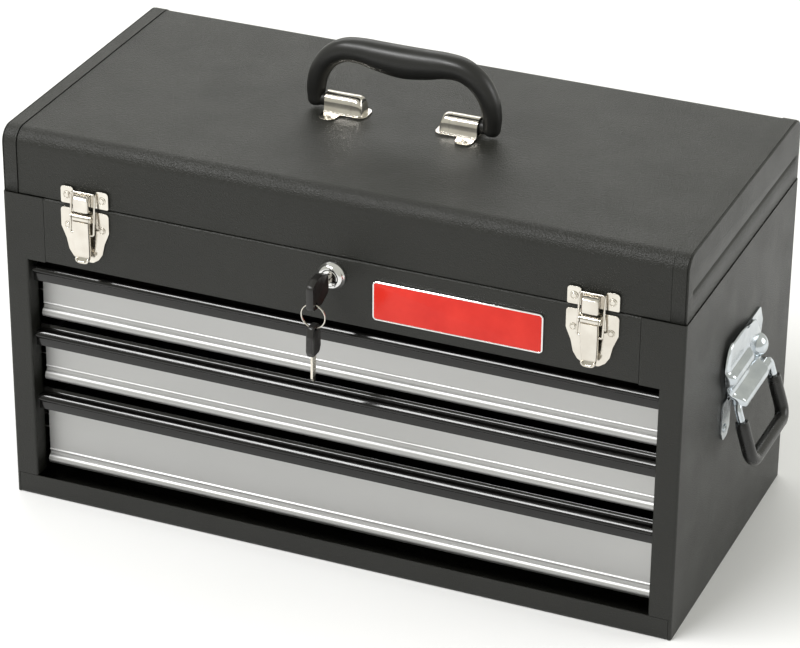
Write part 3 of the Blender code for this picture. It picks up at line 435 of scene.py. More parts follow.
LID_RADIUS = 12 * MM
LID_REAR_CLEAR = 2.9 * MM  # the rear wall ends this much above the hinge
SHEET = 1.0 * MM
CAP_GROOVE_Z = 271.6 * MM
# distance before the wall and distance under the flange's face, in mm
CAP_CORNER = (
    (2.1, 0.0), (1.75, 0.03), (1.45, 0.55), (1.15, 0.60), (0.85, 0.18), (0.45, 0.28), (0.12, 0.60),
    (0.0, 1.1),
)
# height from the groove's middle and depth, in mm
CAP_GROOVE = ((-1.9, 0.0), (-1.1, 1.0), (-0.4, 1.5), (0.4, 1.5), (1.1, 1.0), (1.9, 0.0))


def lid_skin():
    low, high = box_of("lid_shell")
    rear = low.z + LID_REAR_CLEAR
    outer = lid_section(low.y, high.y, high.z, LID_RADIUS, low.z, rear)
    inner = lid_section(
        low.y + SHEET, high.y - SHEET, high.z - SHEET, LID_RADIUS - SHEET, low.z, rear
    )
    bm = bmesh.new()
    prism(bm, outer + inner[::-1], low.x, high.x, along_x)
    piece("lid_skin", bm, POWDER, "lid", ["lid_shell"], bevel=0.25 * MM)


def lid_cap(label, side):
    """End cap: flange over the lid's edge, a creased corner and a side wall with a pressed groove."""
    low, high = box_of(f"lid_end_cap_{label}")
    wall = max(abs(low.x), abs(high.x))
    rim = min(abs(low.x), abs(high.x))
    rows = [low.z] + [CAP_GROOVE_Z + up * MM for up, _ in CAP_GROOVE]
    depth = [0.0] + [deep * MM for _, deep in CAP_GROOVE]
    radius = LID_RADIUS

    def outline(inset):
        front, back, top = low.y + inset, high.y - inset, high.z - inset
        points = [(front, z) for z in rows]
        points += arc((low.y + radius, high.z - radius), radius - inset, 180, 90, 12)
        points += arc((high.y - radius, high.z - radius), radius - inset, 90, 0, 12)
        points += [(back, z) for z in rows[::-1]]
        return points

    # across the flange from its rim, over the crease and round the corner into the wall
    stations = [(rim, 0.0), (rim + 0.3 * MM, 0.0)]
    for before_wall, inset in CAP_CORNER:
        stations.append((wall - before_wall * MM, inset * MM))
    bm = bmesh.new()
    loops = [[bm.verts.new((side * x, a, b)) for a, b in outline(inset)] for x, inset in stations]
    for a, b in zip(loops, loops[1:]):
        for i in range(len(a) - 1):
            bm.faces.new((a[i], a[i + 1], b[i + 1], b[i]))
    edge = loops[-1]
    count = len(rows)
    across = [low.y + 9.5 * MM, low.y + 11.5 * MM, low.y + 14 * MM]
    across += [high.y - 11 * MM, high.y - 8.5 * MM, high.y - 6.5 * MM]
    share = [0.0, 0.45, 1.0, 1.0, 0.45, 0.0]  # the groove runs out at both ends
    grid = []
    for r, z in enumerate(rows):
        row = [edge[r]]
        for y, part in zip(across, share):
            row.append(bm.verts.new((side * (wall - depth[r] * part), y, z)))
        row.append(edge[-1 - r])
        grid.append(row)
    for a, b in zip(grid, grid[1:]):
        for i in range(len(a) - 1):
            bm.faces.new((a[i], a[i + 1], b[i + 1], b[i]))
    bm.faces.new(grid[-1] + edge[count:len(edge) - count][::-1])
    piece(
        f"lid_cap_{label}", bm, POWDER, "lid", [f"lid_end_cap_{label}"],
        sharp=50, solid=0.9 * MM,
    )


lid_skin()
for side_name, side_sign in SIDES:
    lid_cap(side_name, side_sign)


# ---------------------------------------------------------------- drawers


FASCIA_BEHIND = 15.5 * MM  # drawer fronts behind the cabinet's front
# the ridge above the bead, from the front's face and from its foot, in mm
FRONT_RIDGE = ((-0.55, 12.3), (-0.95, 11.7), (-0.55, 11.1), (0.15, 10.7), (0.40, 9.6), (0.15, 8.4))
# the pull rail's section, from its nose and from its top, in mm
RAIL_OUTER = (
    (11.7, -6.0), (11.7, -0.25), (11.45, 0.0), (10.55, 0.0), (10.25, -0.3), (9.6, -1.5), (8.4, -2.5),
    (6.6, -3.05), (5.2, -2.95), (4.2, -2.45), (3.5, -2.10), (2.9, -2.05), (2.45, -2.20), (2.15, -2.42),
    (1.55, -2.96), (0.95, -3.56), (0.45, -4.10), (0.15, -4.62), (0.02, -5.20), (0.10, -5.80),
    (0.45, -6.35), (1.0, -6.80), (1.5, -7.30), (1.75, -8.0), (1.75, -13.5), (2.0, -13.9),
)
RAIL_INNER = (
    (2.7, -13.9), (2.85, -13.5), (2.85, -7.2), (3.6, -5.4), (5.2, -4.1), (6.8, -4.1), (9.0, -3.6),
    (10.5, -3.2), (10.7, -6.0),
)


def drawer_front(name):
    """Satin front sheet with a fine ridge and a convex bead along its foot."""
    low, high = box_of(f"drawer_{name}_front")
    y = FRONT_Y + FASCIA_BEHIND
    foot = low.z
    path = [(y, high.z), (y, foot + 12.6 * MM)]
    path += [(y + a * MM, foot + b * MM) for a, b in FRONT_RIDGE]
    for k in range(1, 16):
        a = math.radians(90 + 180 * k / 16)
        path.append((y + (0.8 + 3.9 * math.cos(a)) * MM, foot + 4.0 * MM + 4.0 * math.sin(a) * MM))
    back = [(y + 0.9 * MM, foot), (y + 1.0 * MM, foot + 1.5 * MM), (y + 1.0 * MM, high.z)]
    bm = bmesh.new()
    prism(bm, path + back, low.x, high.x, along_x)
    piece(
        f"drawer_{name}_face", bm, SATIN, f"drawer_{name}", [f"drawer_{name}_front"], sharp=40
    )


def drawer_rail(name):
    """Gloss pull: back edge, hollow shelf, round nose, undercut and hanging skirt."""
    low, high = box_of(f"drawer_{name}_pull")
    top, nose, back = high.z, low.y, high.y
    outline = [(nose + a * MM, top + b * MM) for a, b in RAIL_OUTER + RAIL_INNER]
    outline[0] = (back, top - 6 * MM)
    outline[1] = (back, top - 0.25 * MM)
    bm = bmesh.new()
    prism(bm, outline, low.x, high.x, along_x)
    piece(f"drawer_{name}_rail", bm, GLOSS, f"drawer_{name}", [f"drawer_{name}_pull"], sharp=40)


for drawer_name in ("top", "middle", "bottom"):
    drawer_front(drawer_name)
    drawer_rail(drawer_name)


# ---------------------------------------------------------------- carry handle and its brackets

PIN_Z = 309.0 * MM
# radius and distance along the pin that each leg holds in its bracket, in mm
PIN_PROFILE = ((4.6, 0), (5.1, 0.5), (5.1, 33), (5.6, 34.5), (5.6, 38))
# x, z and radius along the grip's centre line, in mm
GRIP_LINE = (
    (68.4, 309.0, 6.6), (68.5, 319.0, 7.1), (65.6, 331.0, 7.6), (58.3, 342.4, 8.2), (46.5, 350.0, 8.8),
    (33.0, 351.4, 9.5), (17.0, 349.7, 11.2), (0.0, 348.6, 12.2),
)


def grip():
    """Moulded handle: two legs with rounded feet, rounded shoulders and a palm swell below."""
    half = [Vector(p) for p in GRIP_LINE]
    line = [Vector((-p.x, p.y, p.z)) for p in half[:-1]] + half[::-1]
    path = smooth_path(line, 7)
    bm = bmesh.new()
    loops = []
    around = 28
    for i, point in enumerate(path):
        ahead = path[min(i + 1, len(path) - 1)]
        behind = path[max(i - 1, 0)]
        along = Vector((ahead.x - behind.x, ahead.y - behind.y)).normalized()
        across = Vector((-along.y, along.x))
        loop = []
        for k in range(around):
            a = 2 * math.pi * k / around
            c, s = math.cos(a), math.sin(a)
            u = math.copysign(abs(c) ** 0.9, c) * point.z * 0.985
            v = math.copysign(abs(s) ** 0.9, s) * min(point.z, 9.2 + (point.z - 9.2) * 0.35)
            loop.append(Vector((point.x + across.x * u, v, point.y + across.y * u)) * MM)
        loops.append(loop)
    foot = [loops[0], loops[-1]]
    ends = []
    for loop, x in zip(foot, (-68.4, 68.4)):
        centre = Vector((x * MM, 0, PIN_Z))
        caps = []
        for k in range(1, 7):
            a = math.pi / 2 * k / 6.4
            shrink, drop = math.cos(a) ** 0.7, math.sin(a) * 5.8 * MM
            caps.append([centre + (p - centre) * shrink - Vector((0, 0, drop)) for p in loop])
        ends.append(caps)
    rings(bm, ends[0][::-1] + loops + ends[1])
    for side in (-1, 1):
        pin = [(r * MM, along * MM) for r, along in PIN_PROFILE]
        turned(bm, pin, (side * 31 * MM, 0, PIN_Z), (side, 0, 0), 28)
    piece("carry_grip", bm, PLASTIC, "carry_handle", ["carry_handle"], sharp=50)


def bracket(label, side):
    """Pressed bracket: flat foot with two riveted ears, and a tunnel closed at its inner end."""
    base, sheet = box_of(f"handle_bracket_{label}")[0].z, 0.9
    half = [(27.0, 5.0), (28.8, 8.6), (33.5, 10.0), (40.5, 9.0), (45.2, 9.6), (46.4, 12.0), (46.8, 17.2)]
    half += [(49.2, 20.3), (53.0, 20.8), (57.0, 20.3), (59.4, 17.2), (59.6, 10.0)]
    outline = [(side * a * MM, b * MM) for a, b in half] + [(side * a * MM, -b * MM) for a, b in half[::-1]]
    outline = rounded(outline, 1.6 * MM, 3)
    bm = bmesh.new()
    prism(bm, outline, base, base + sheet * MM, along_z)
    for end in (-1, 1):
        rivet(bm, (side * 53.4 * MM, end * 14.2 * MM, base + sheet * MM), (0, 0, 1), 2.9 * MM, 1.2 * MM, True)
    foot = base / MM + 0.3
    outer = [(-9.2, foot), (-9.0, foot + 0.75), (-8.0, foot + 1.0), (-7.2, foot + 2.2)]
    outer += arc((0, 309.0), 7.05, 176, 4, 20)
    outer += [(7.2, foot + 2.2), (8.0, foot + 1.0), (9.0, foot + 0.75), (9.2, foot)]
    inner = [(6.2, foot)] + arc((0, 309.0), 6.15, 2, 178, 20) + [(-6.2, foot)]
    section = [(a * MM, b * MM) for a, b in outer + inner]
    prism(bm, section, side * 38 * MM, side * 59.6 * MM, along_x)
    shrink = ((38.6, 1.0), (35.5, 1.0), (33.6, 0.97), (32.2, 0.90), (31.2, 0.77), (30.5, 0.55), (30.1, 0.25))
    loops = []
    for x, part in shrink:
        wide = 0.72 + 0.28 * part
        loops.append([
            (side * x * MM, a * MM * wide, (foot + (b - foot) * part) * MM) for a, b in outer
        ])
    rings(bm, loops)
    piece(
        f"bracket_{label}", bm, NICKEL, "lid", [f"handle_bracket_{label}"],
        bevel=0.22 * MM, sharp=36,
    )


grip()
for side_name, side_sign in SIDES:
    bracket(side_name, side_sign)


# ---------------------------------------------------------------- draw latches


LEVER_FACE = (
    (2.6, 0.5, 5.6), (4.0, 0.35, 5.7), (9.0, 0.45, 5.8), (18.0, 1.0, 5.6), (25.0, 2.0, 5.2),
    (30.0, 2.5, 4.8), (32.6, 1.9, 4.5),
)
LEVER_CURL = ((4.6, 3.4), (4.2, 2.3), (3.2, 1.5), (1.6, 1.2))  # half width and height above the tip


def latch(label):
    low, high = box_of(f"latch_plate_{label}")
    x0 = (low.x + high.x) / 2
    plate_y = FRONT_Y - 0.3 * MM
    lever_low, lever_high = box_of(f"latch_lever_{label}")
    pivot_z = lever_high.z - 3.1 * MM
    pivot_y = FRONT_Y - 6.0 * MM

    def at(points):
        return [(x0 + a * MM, b * MM) for a, b in points]

    half = [(19.2, 249.7), (19.2, 234.4), (15.3, 225.0), (13.4, 216.5), (10.2, 211.6), (5.6, 208.5)]
    outline = rounded(at(half + [(-a, b) for a, b in half[::-1]]), 2.6 * MM, 4)
    bm = bmesh.new()
    prism(bm, outline, plate_y, plate_y - 1.0 * MM, along_y)
    for side in (-1, 1):
        head = (x0 + side * 13.8 * MM, plate_y - 1.0 * MM, 235.8 * MM)
        rivet(bm, head, (0, -1, 0), 2.7 * MM, 1.0 * MM, True)
        lug = [(pivot_y, pivot_z + 3.0 * MM), (plate_y - 0.4 * MM, pivot_z + 3.7 * MM)]
        lug += [(plate_y - 0.4 * MM, pivot_z - 4.2 * MM), (pivot_y, pivot_z - 3.0 * MM)]
        lug += arc((pivot_y, pivot_z), 3.0 * MM, 270, 90, 10)[1:-1]
        prism(bm, lug, x0 + side * 7.15 * MM, x0 + side * 8.0 * MM, along_x)
    piece(
        f"latch_base_{label}", bm, NICKEL, "cabinet", [f"latch_plate_{label}"], bevel=0.28 * MM
    )

    keeper_low, keeper_high = box_of(f"latch_keeper_{label}")
    lid_y = keeper_high.y
    top = keeper_high.z / MM
    outline = [(-19.0, 252.7), (19.0, 252.7), (19.0, top), (9.2, top)]
    outline += [(8.6, 262.2), (-8.6, 262.2), (-9.2, top), (-19.0, top)]
    corner_radii = [1.2 * MM] * 2 + [2.5 * MM] * 2 + [1.0 * MM] * 2 + [2.5 * MM] * 2
    bm = bmesh.new()
    prism(bm, rounded(at(outline), corner_radii, 4), lid_y, lid_y - 1.0 * MM, along_y)
    for side in (-1, 1):
        head = (x0 + side * 14.0 * MM, lid_y - 1.0 * MM, 259.4 * MM)
        rivet(bm, head, (0, -1, 0), 3.0 * MM, 1.1 * MM, True)
    front = keeper_low.y
    levels = ((262.9, 0.62), (262.75, 0.80), (262.2, 0.93), (261.2, 1.0), (256.0, 1.0), (251.6, 1.0),
              (250.9, 0.96), (250.55, 0.86))
    loops = []
    for z, part in levels:
        deep = lid_y - 0.3 * MM
        face = deep + (front - deep) * (part if z < 262 else part * 0.95)
        wide = 6.2 * MM * (0.86 + 0.14 * part)
        corners = [(x0 - wide, deep), (x0 + wide, deep), (x0 + wide, face), (x0 - wide, face)]
        loops.append([(p[0], p[1], z * MM) for p in rounded(corners, [0.2 * MM] * 2 + [1.5 * MM] * 2, 4)])
    rings(bm, loops)
    piece(
        f"latch_hump_{label}", bm, NICKEL, "lid", [f"latch_keeper_{label}"], bevel=0.25 * MM
    )

    face_y = (pivot_y - 3.1 * MM) / MM
    bm = bmesh.new()
    # height, distance behind the roll's front and half width, in mm
    stations = [(pivot_z / MM - down, back, wide) for down, back, wide in LEVER_FACE]
    stations += [(lever_low.z / MM + 1.9, 0.9, 4.2), (lever_low.z / MM + 0.9, 0.9, 3.6)]
    loops = []
    for z, back, wide in stations:
        y = face_y + back
        section = [(-wide - 0.75, y + 2.6), (-wide - 0.75, y + 0.8), (-wide - 0.35, y + 0.15)]
        section += [(-wide + 0.5, y), (-2.5, y - 0.12), (2.5, y - 0.12)]
        section += [(wide - 0.5, y), (wide + 0.35, y + 0.15), (wide + 0.75, y + 0.8), (wide + 0.75, y + 2.6)]
        section += [(wide, y + 2.6), (wide - 0.2, y + 0.95), (-wide + 0.2, y + 0.95), (-wide, y + 2.6)]
        loops.append([(x0 + a * MM, b * MM, z * MM) for a, b in section])
    rings(bm, loops)
    turned(
        bm, [(2.6 * MM, -6.8 * MM), (3.05 * MM, -6.4 * MM), (3.05 * MM, 6.4 * MM), (2.6 * MM, 6.8 * MM)],
        (x0, pivot_y, pivot_z), (1, 0, 0), 28,
    )
    turned(bm, [(1.1 * MM, -8.3 * MM), (1.1 * MM, 8.3 * MM)], (x0, pivot_y, pivot_z), (1, 0, 0), 16)
    tip = []
    for reach, lift in [(-a, b) for a, b in LEVER_CURL] + list(LEVER_CURL[::-1]):
        tip.append((x0 + reach * MM, (face_y + 1.4) * MM, lever_low.z + lift * MM))
    tube(bm, tip, 1.15 * MM, 18, round_ends=3)
    piece(
        f"latch_handle_{label}", bm, NICKEL, f"latch_lever_{label}",
        [f"latch_lever_{label}"], sharp=34,
    )

    loop_low, loop_high = box_of(f"latch_loop_{label}")
    foot_y, foot_z = pivot_y, loop_low.z + 0.8 * MM
    bar_y, bar_z = FRONT_Y - 2.6 * MM, loop_high.z - 0.8 * MM
    reach = 9.3 * MM
    bm = bmesh.new()
    corners = [Vector((-6.1 * MM, foot_y, foot_z)), Vector((-reach, foot_y, foot_z))]
    corners.append(Vector((-reach, bar_y, bar_z)))
    corners += [Vector((-p.x, p.y, p.z)) for p in corners[::-1]]
    path = rounded(corners, 1.9 * MM, 6, closed=False)
    tube(bm, [p + Vector((x0, 0, 0)) for p in path], 0.8 * MM, 14)
    piece(
        f"latch_wire_{label}", bm, NICKEL, f"latch_loop_{label}", [f"latch_loop_{label}"], sharp=50
    )


for side_name, _ in SIDES:
    latch(side_name)


# ---------------------------------------------------------------- lock and keys


def lock():
    low, high = box_of("lock_barrel")
    z0 = (low.z + high.z) / 2
    head = (high.z - low.z) / 2
    y0 = FRONT_Y - 0.3 * MM
    bore = 6.3 * MM
    rear = high.y - y0
    profile = [
        (bore, rear), (8.0 * MM, rear), (8.0 * MM, 0.0), (head, 0.0), (head, -1.2 * MM),
        (head - 0.25 * MM, -1.9 * MM), (head - 0.9 * MM, -2.6 * MM), (head - 1.3 * MM, -3.6 * MM),
        (head - 1.9 * MM, -4.6 * MM), (head - 2.8 * MM, -5.3 * MM), (head - 3.6 * MM, -5.65 * MM),
        (bore + 0.3 * MM, -5.65 * MM), (bore, -5.3 * MM),
    ]
    bm = bmesh.new()
    turned(bm, profile, (0, y0, z0), (0, 1, 0), 48, closed=True)
    piece("lock_housing", bm, CHROME, "cabinet", ["lock_barrel"], sharp=30)

    plug_low, plug_high = box_of("lock_plug")
    face, back = plug_low.y, plug_high.y
    radius = 6.0 * MM
    slot_x, slot_z = 1.3 * MM, 3.9 * MM
    around = 32
    outer = [(radius * math.cos(2 * math.pi * k / around), z0 + radius * math.sin(2 * math.pi * k / around))
             for k in range(around)]
    inner = []
    for k in range(around):
        c, s = math.cos(2 * math.pi * k / around), math.sin(2 * math.pi * k / around)
        reach = min(slot_x / max(abs(c), 1e-6), slot_z / max(abs(s), 1e-6))
        inner.append((reach * c, z0 + reach * s))
    bm = bmesh.new()
    floor_y = FRONT_Y + 17 * MM
    trim = [(a * 0.94, z0 + (b - z0) * 0.94) for a, b in outer]
    loops = [[(a, back, b) for a, b in outer], [(a, face + 0.5 * MM, b) for a, b in outer]]
    loops += [[(a, face, b) for a, b in trim], [(a, face, b) for a, b in inner]]
    loops.append([(a, floor_y, b) for a, b in inner])
    rings(bm, loops)
    piece("lock_cylinder", bm, CHROME, "lock_plug", ["lock_plug"], sharp=30)


def key_head(bm, outline, hole, half_thick, hole_r):
    """A moulded key head in the y-z plane with a raised rim and a round hole."""
    centre = Vector(hole)
    around = len(outline)
    hole_loop = []
    for point in outline:
        away = (Vector(point) - centre).normalized()
        hole_loop.append(centre + away * hole_r)
    middle = sum((Vector(p) for p in outline), Vector((0, 0))) / around

    def inset(amount):
        return [Vector(p) + (middle - Vector(p)).normalized() * amount for p in outline]

    spec = [
        (hole_loop, half_thick * 0.86), (inset(1.9 * MM), half_thick * 0.86), (inset(1.3 * MM), half_thick),
        (inset(0.5 * MM), half_thick), (inset(0.0), half_thick * 0.78), (inset(0.0), -half_thick * 0.78),
        (inset(0.5 * MM), -half_thick), (inset(1.3 * MM), -half_thick), (inset(1.9 * MM), -half_thick * 0.86),
        (hole_loop, -half_thick * 0.86),
    ]
    rings(bm, [[(x, p[0], p[1]) for p in loop] for loop, x in spec], closed=True)


def dense(points, step):
    """An outline with extra points along its long edges."""
    out = []
    for a, b in zip(points, points[1:] + points[:1]):
        count = max(1, round((Vector(b) - Vector(a)).length / step))
        out += [Vector(a).lerp(Vector(b), k / count) for k in range(count)]
    return out


def keys():
    low, high = box_of("key_in_lock")
    barrel_low, barrel_high = box_of("lock_barrel")
    z0 = (barrel_low.z + barrel_high.z) / 2
    ring_low, ring_high = box_of("key_ring")
    ring_y = (ring_low.y + ring_high.y) / 2
    wire = 0.6 * MM
    ring_r = (ring_high.z - ring_low.z) / 2 - wire
    ring_z = (ring_low.z + ring_high.z) / 2
    near = FRONT_Y - 12.0 * MM
    half_high = (high.z - low.z) / 2
    long = near - low.y
    shape = [(0, -0.60), (0.42, -1.0), (1.0, -0.94), (1.0, 0.70), (0.72, 1.0), (0.42, 1.0), (0, 0.60)]
    outline = [(near - long * a, z0 + half_high * b) for a, b in shape]
    outline = dense(rounded(outline, 3.6 * MM, 5), 1.6 * MM)
    bm = bmesh.new()
    key_head(bm, outline, (ring_y, ring_z + ring_r), 2.7 * MM, 1.9 * MM)
    piece("key_head", bm, KEY_BLACK, "lock_plug", ["key_in_lock"], sharp=40)
    bm = bmesh.new()
    blade = [(-0.95, -3.3), (0.95, -3.3), (0.95, -0.9), (0.45, -0.5), (0.45, 0.3), (0.95, 0.7), (0.95, 3.3)]
    blade += [(-0.95, 3.3), (-0.95, 0.9), (-0.45, 0.5), (-0.45, -0.3), (-0.95, -0.7)]
    prism(bm, [(a * MM, z0 + b * MM) for a, b in blade], near - 3.5 * MM, FRONT_Y + 16 * MM, along_y)
    piece("key_shank", bm, KEY_STEEL, "lock_plug", sharp=30)

    bm = bmesh.new()
    turns = 2
    steps = 40
    coil = []
    for k in range(turns * steps + 1):
        a = 2 * math.pi * k / steps
        lean = (k / (turns * steps) - 0.5) * 1.0 * MM
        coil.append((ring_r * math.sin(a), ring_y + lean, ring_z + ring_r * math.cos(a)))
    tube(bm, coil, 0.48 * MM, 12, round_ends=2)
    piece("split_ring", bm, NICKEL, "key_ring", ["key_ring"], sharp=50)

    low, high = box_of("spare_key")
    hole_z = ring_z - ring_r
    half = (high.y - low.y) / 2
    middle = (high.y + low.y) / 2
    head = 23.5 * MM
    shape = [(0, -0.62), (0.30, -0.95), (0.80, -1.0), (1.0, -0.70)]
    shape += [(a, -b) for a, b in shape[::-1]]
    outline = [(middle + half * b, high.z - head * a) for a, b in shape]
    outline = dense(rounded(outline, 3.0 * MM, 5), 1.6 * MM)
    bm = bmesh.new()
    key_head(bm, outline, (middle, hole_z), 2.45 * MM, 1.8 * MM)
    piece("spare_key_head", bm, KEY_BLACK, "spare_key", ["spare_key"], sharp=40)
    bm = bmesh.new()
    root = high.z - head + 3 * MM
    tip = high.z - head - 21.5 * MM
    bitting = ((3.2, 0), (3.2, 7), (2.5, 8.2), (3.1, 10), (2.2, 12), (2.9, 14), (2.1, 16.5), (2.6, 18.5))
    outline = [(middle + a * MM, root - down * MM) for a, down in bitting]
    outline += [(middle + 1.9 * MM, tip + 3.0 * MM), (middle + 0.3 * MM, tip)]
    outline += [(middle - 0.3 * MM, tip), (middle - 3.2 * MM, tip + 3.4 * MM), (middle - 3.2 * MM, root)]
    prism(bm, outline, -0.9 * MM, 0.9 * MM, along_x)
    piece("spare_key_blade", bm, KEY_STEEL, "spare_key", bevel=0.25 * MM)


lock()
keys()


# ---------------------------------------------------------------- side handles


# distance from the handle's middle and height, in mm
PLATE_EAR = (
    (34.5, 150.0), (44.5, 150.0), (45.2, 126.0), (41.0, 118.6), (32.0, 118.6), (27.0, 124.0),
    (26.5, 150.0),
)
PLATE_BACK = ((36.0, 190.0), (43.0, 176.0), (38.0, 160.0), (34.0, 147.0))
# height, front edge and rear edge of the pressed shell, in mm
SHELL_EDGES = (
    (197.0, -29.5, 6.0), (195.8, -32.5, 14.0), (192.5, -34.5, 23.0), (187.0, -36.8, 31.0),
    (180.0, -38.6, 37.5), (174.0, -39.6, 42.5), (168.0, -38.6, 41.5), (162.0, -35.0, 37.5),
    (157.0, -31.5, 33.5), (151.0, -29.5, 30.0), (146.5, -28.5, 29.0),
)
# height and distance off the wall: over the small barrel and down over the bail's barrel, in mm
SHELL_LIFT = (
    (197.0, 4.4), (183.0, 4.5), (178.0, 4.8), (176.0, 6.0), (175.0, 8.0), (172.8, 9.8), (170.0, 10.3),
    (167.2, 9.6), (165.2, 7.8), (163.4, 6.3), (161.2, 5.9), (158.8, 6.2), (156.6, 7.2), (155.2, 9.0),
    (154.4, 11.0), (153.2, 13.2), (151.4, 15.0), (149.0, 15.9), (146.8, 15.8),
)


def shell_edges(z):
    last = len(SHELL_EDGES) - 2
    k = next(i for i in range(last + 1) if SHELL_EDGES[i + 1][0] <= z + 1e-6 or i == last)
    above, below = SHELL_EDGES[k], SHELL_EDGES[k + 1]
    t = (above[0] - z) / (above[0] - below[0])
    return above[1] + (below[1] - above[1]) * t, above[2] + (below[2] - above[2]) * t


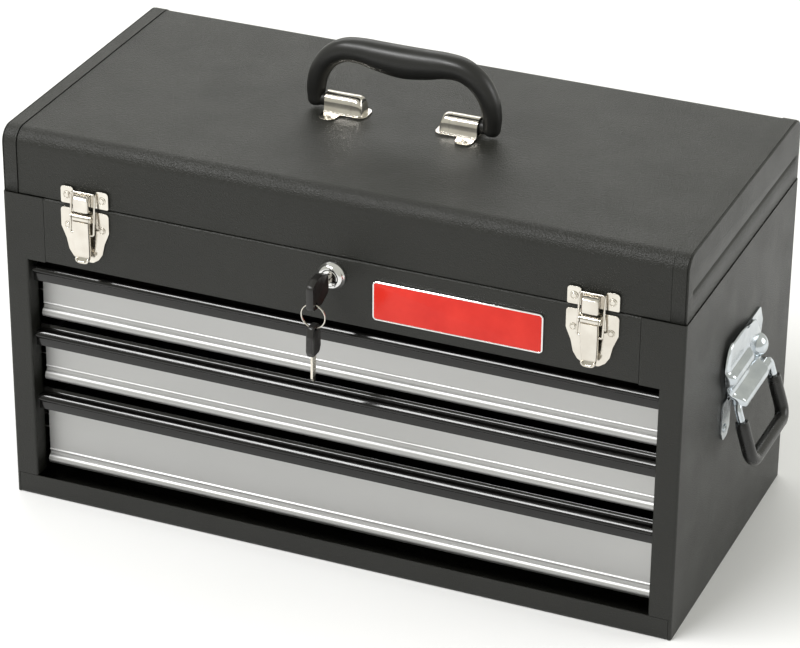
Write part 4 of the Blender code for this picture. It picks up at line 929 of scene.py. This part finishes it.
def side_handle(label, side):
    """Pressed shell over a base plate, the bail's barrel, the bail and its vinyl grip."""
    low, high = box_of(f"bail_{label}")
    wire = 2.8 * MM
    reach = [abs(low.x), abs(high.x)]
    axis_x, foot_x = min(reach) + wire, max(reach) - wire
    axis_z, foot_z = high.z - wire, low.z + wire
    y0 = (low.y + high.y) / 2
    half = (high.y - low.y) / 2 - wire
    wall = WALL_X + 0.3 * MM
    drop = axis_z - 148.5 * MM

    def outward(points, lift):
        return [(side * (wall + lift), a, b) for a, b in points]

    bm = bmesh.new()
    for end in (-1, 1):
        outline = [(y0 + end * a * MM, b * MM + drop) for a, b in PLATE_EAR]
        outline = rounded(outline, 2.6 * MM, 4)
        rings(bm, [outward(outline, 0.0), outward(outline, 1.2 * MM)])
        head = (side * (wall + 1.2 * MM), y0 + end * 38.0 * MM, 127.5 * MM + drop)
        rivet(bm, head, (side, 0, 0), 3.3 * MM, 1.3 * MM, True)
    outline = [(y0 + a * MM, b * MM + drop) for a, b in PLATE_BACK]
    outline += [(y0 - a * MM, b * MM + drop) for a, b in PLATE_BACK[::-1]]
    outline = rounded(outline, 3.0 * MM, 4)
    rings(bm, [outward(outline, 0.0), outward(outline, 1.2 * MM)])
    barrel = half - 9.0 * MM
    bore = wire + 0.3 * MM
    profile = [(bore, -barrel), (5.0 * MM, -barrel), (5.4 * MM, -barrel + 0.5 * MM)]
    profile += [(5.4 * MM, barrel - 0.5 * MM), (5.0 * MM, barrel), (bore, barrel)]
    turned(bm, profile, (side * axis_x, y0, axis_z), (0, 1, 0), 28, closed=True)
    columns = 40
    shell = bmesh.new()
    grid = []
    for z, top_lift in smooth_path(SHELL_LIFT, 3):
        near, far = shell_edges(z)
        row = []
        for c in range(columns + 1):
            u = c / columns
            y = near + (far - near) * u
            height = z
            if z > 190.0:
                bow = max(0.0, 2 * u - 1)
                height = z - (z - 190.0) * 0.55 * bow ** 2
            edge = min(1.0, min(u, 1 - u) * 13.0 + 0.22)
            edge = math.sin(edge * math.pi / 2)
            flat = min(top_lift, 4.6 + max(0.0, 158.0 - z) * 1.6)
            fade = min(1.0, max(0.0, (y - 6.0) / 6.0)) if z > 158.0 else 0.0
            lift = top_lift + (flat - top_lift) * fade
            out = wall + (1.2 + (lift - 1.2) * edge) * MM
            row.append(shell.verts.new((side * out, (y - 10) * MM + y0, height * MM + drop)))
        grid.append(row)
    for a, b in zip(grid, grid[1:]):
        for c in range(columns):
            shell.faces.new((a[c], a[c + 1], b[c + 1], b[c]))
    bmesh.ops.recalc_face_normals(shell, faces=shell.faces)
    facing = sum((f.normal.x * side for f in shell.faces))
    if facing < 0:
        bmesh.ops.reverse_faces(shell, faces=shell.faces)
    piece(f"handle_shell_{label}", shell, ZINC, "cabinet", solid=1.0 * MM, sharp=60)
    dome = [(9.8 * math.cos(math.radians(a)), 9.8 * math.sin(math.radians(a))) for a in range(0, 89, 11)]
    profile = [(9.8 * MM, 0)] + [(r * MM, (h + 0.2) * MM) for r, h in dome] + [(0.4 * MM, 10.0 * MM)]
    foot = (side * (wall + 1.0 * MM), y0 + 26 * MM, 164 * MM + drop)
    turned(bm, profile, foot, (side, 0, 0), 32)
    piece(
        f"handle_base_{label}", bm, ZINC, "cabinet", [f"side_handle_plate_{label}"], bevel=0.2 * MM
    )

    corners = []
    for end in (-1, 1):
        pin = Vector((side * axis_x, y0 + end * (half - 18 * MM), axis_z))
        top = Vector((side * axis_x, y0 + end * half, axis_z))
        foot = Vector((side * foot_x, y0 + end * half, foot_z))
        corners.append([pin, top, foot])
    bends = [0.0, 6.0 * MM, 9.0 * MM, 9.0 * MM, 6.0 * MM, 0.0]
    path = rounded(corners[0] + corners[1][::-1], bends, 8, closed=False)
    bm = bmesh.new()
    tube(bm, path, wire, 22, round_ends=2)
    piece(f"bail_rod_{label}", bm, ZINC, f"side_handle_{label}", [f"bail_{label}"], sharp=50)
    up = (corners[0][1] - corners[0][2]).normalized()
    split = axis_z - 26 * MM
    middle = [p for p in path if p.z < split - 4 * MM]
    legs = []
    for end in (0, 1):
        foot = corners[end][2]
        legs.append(foot + up * ((split - foot.z) / up.z + 13 * MM))
    line = [legs[0]] + middle + [legs[1]]
    bm = bmesh.new()
    dense_line = []
    for a, b in zip(line, line[1:]):
        count = max(1, round((b - a).length / (3 * MM)))
        dense_line += [a.lerp(b, k / count) for k in range(count)]
    dense_line.append(line[-1])
    radii = [5.2 * MM] * len(dense_line)
    radii[0] = radii[-1] = 4.7 * MM
    tube(bm, dense_line, radii, 24)
    piece(f"vinyl_grip_{label}", bm, VINYL, f"side_handle_{label}", [f"bail_grip_{label}"], sharp=50)


for side_name, side_sign in SIDES:
    side_handle(side_name, side_sign)


# ---------------------------------------------------------------- badge


def badge():
    low, high = box_of("badge_plate")
    corners = [(low.x, low.z), (high.x, low.z), (high.x, high.z), (low.x, high.z)]

    def outline(inset):
        cx, cz = (low.x + high.x) / 2, (low.z + high.z) / 2
        moved = [(a - math.copysign(inset, a - cx), b - math.copysign(inset, b - cz)) for a, b in corners]
        return rounded(moved, max(3.2 * MM - inset, 1.0 * MM), 6)

    bm = bmesh.new()
    back, front = high.y, low.y
    spec = [(0.0, back), (0.0, front + 0.35 * MM), (0.35 * MM, front), (0.9 * MM, front)]
    spec.append((1.15 * MM, front + 0.3 * MM))
    rings(bm, [[(p[0], y, p[1]) for p in outline(inset)] for inset, y in spec])
    piece("badge_rim", bm, CHROME, "cabinet", ["badge_plate"], sharp=40)
    bm = bmesh.new()
    spec = [(1.2 * MM, back - 0.2 * MM), (1.2 * MM, front + 0.30 * MM), (1.6 * MM, front + 0.12 * MM)]
    rings(bm, [[(p[0], y, p[1]) for p in outline(inset)] for inset, y in spec])
    piece("badge_field", bm, ENAMEL, "cabinet", sharp=40)


badge()
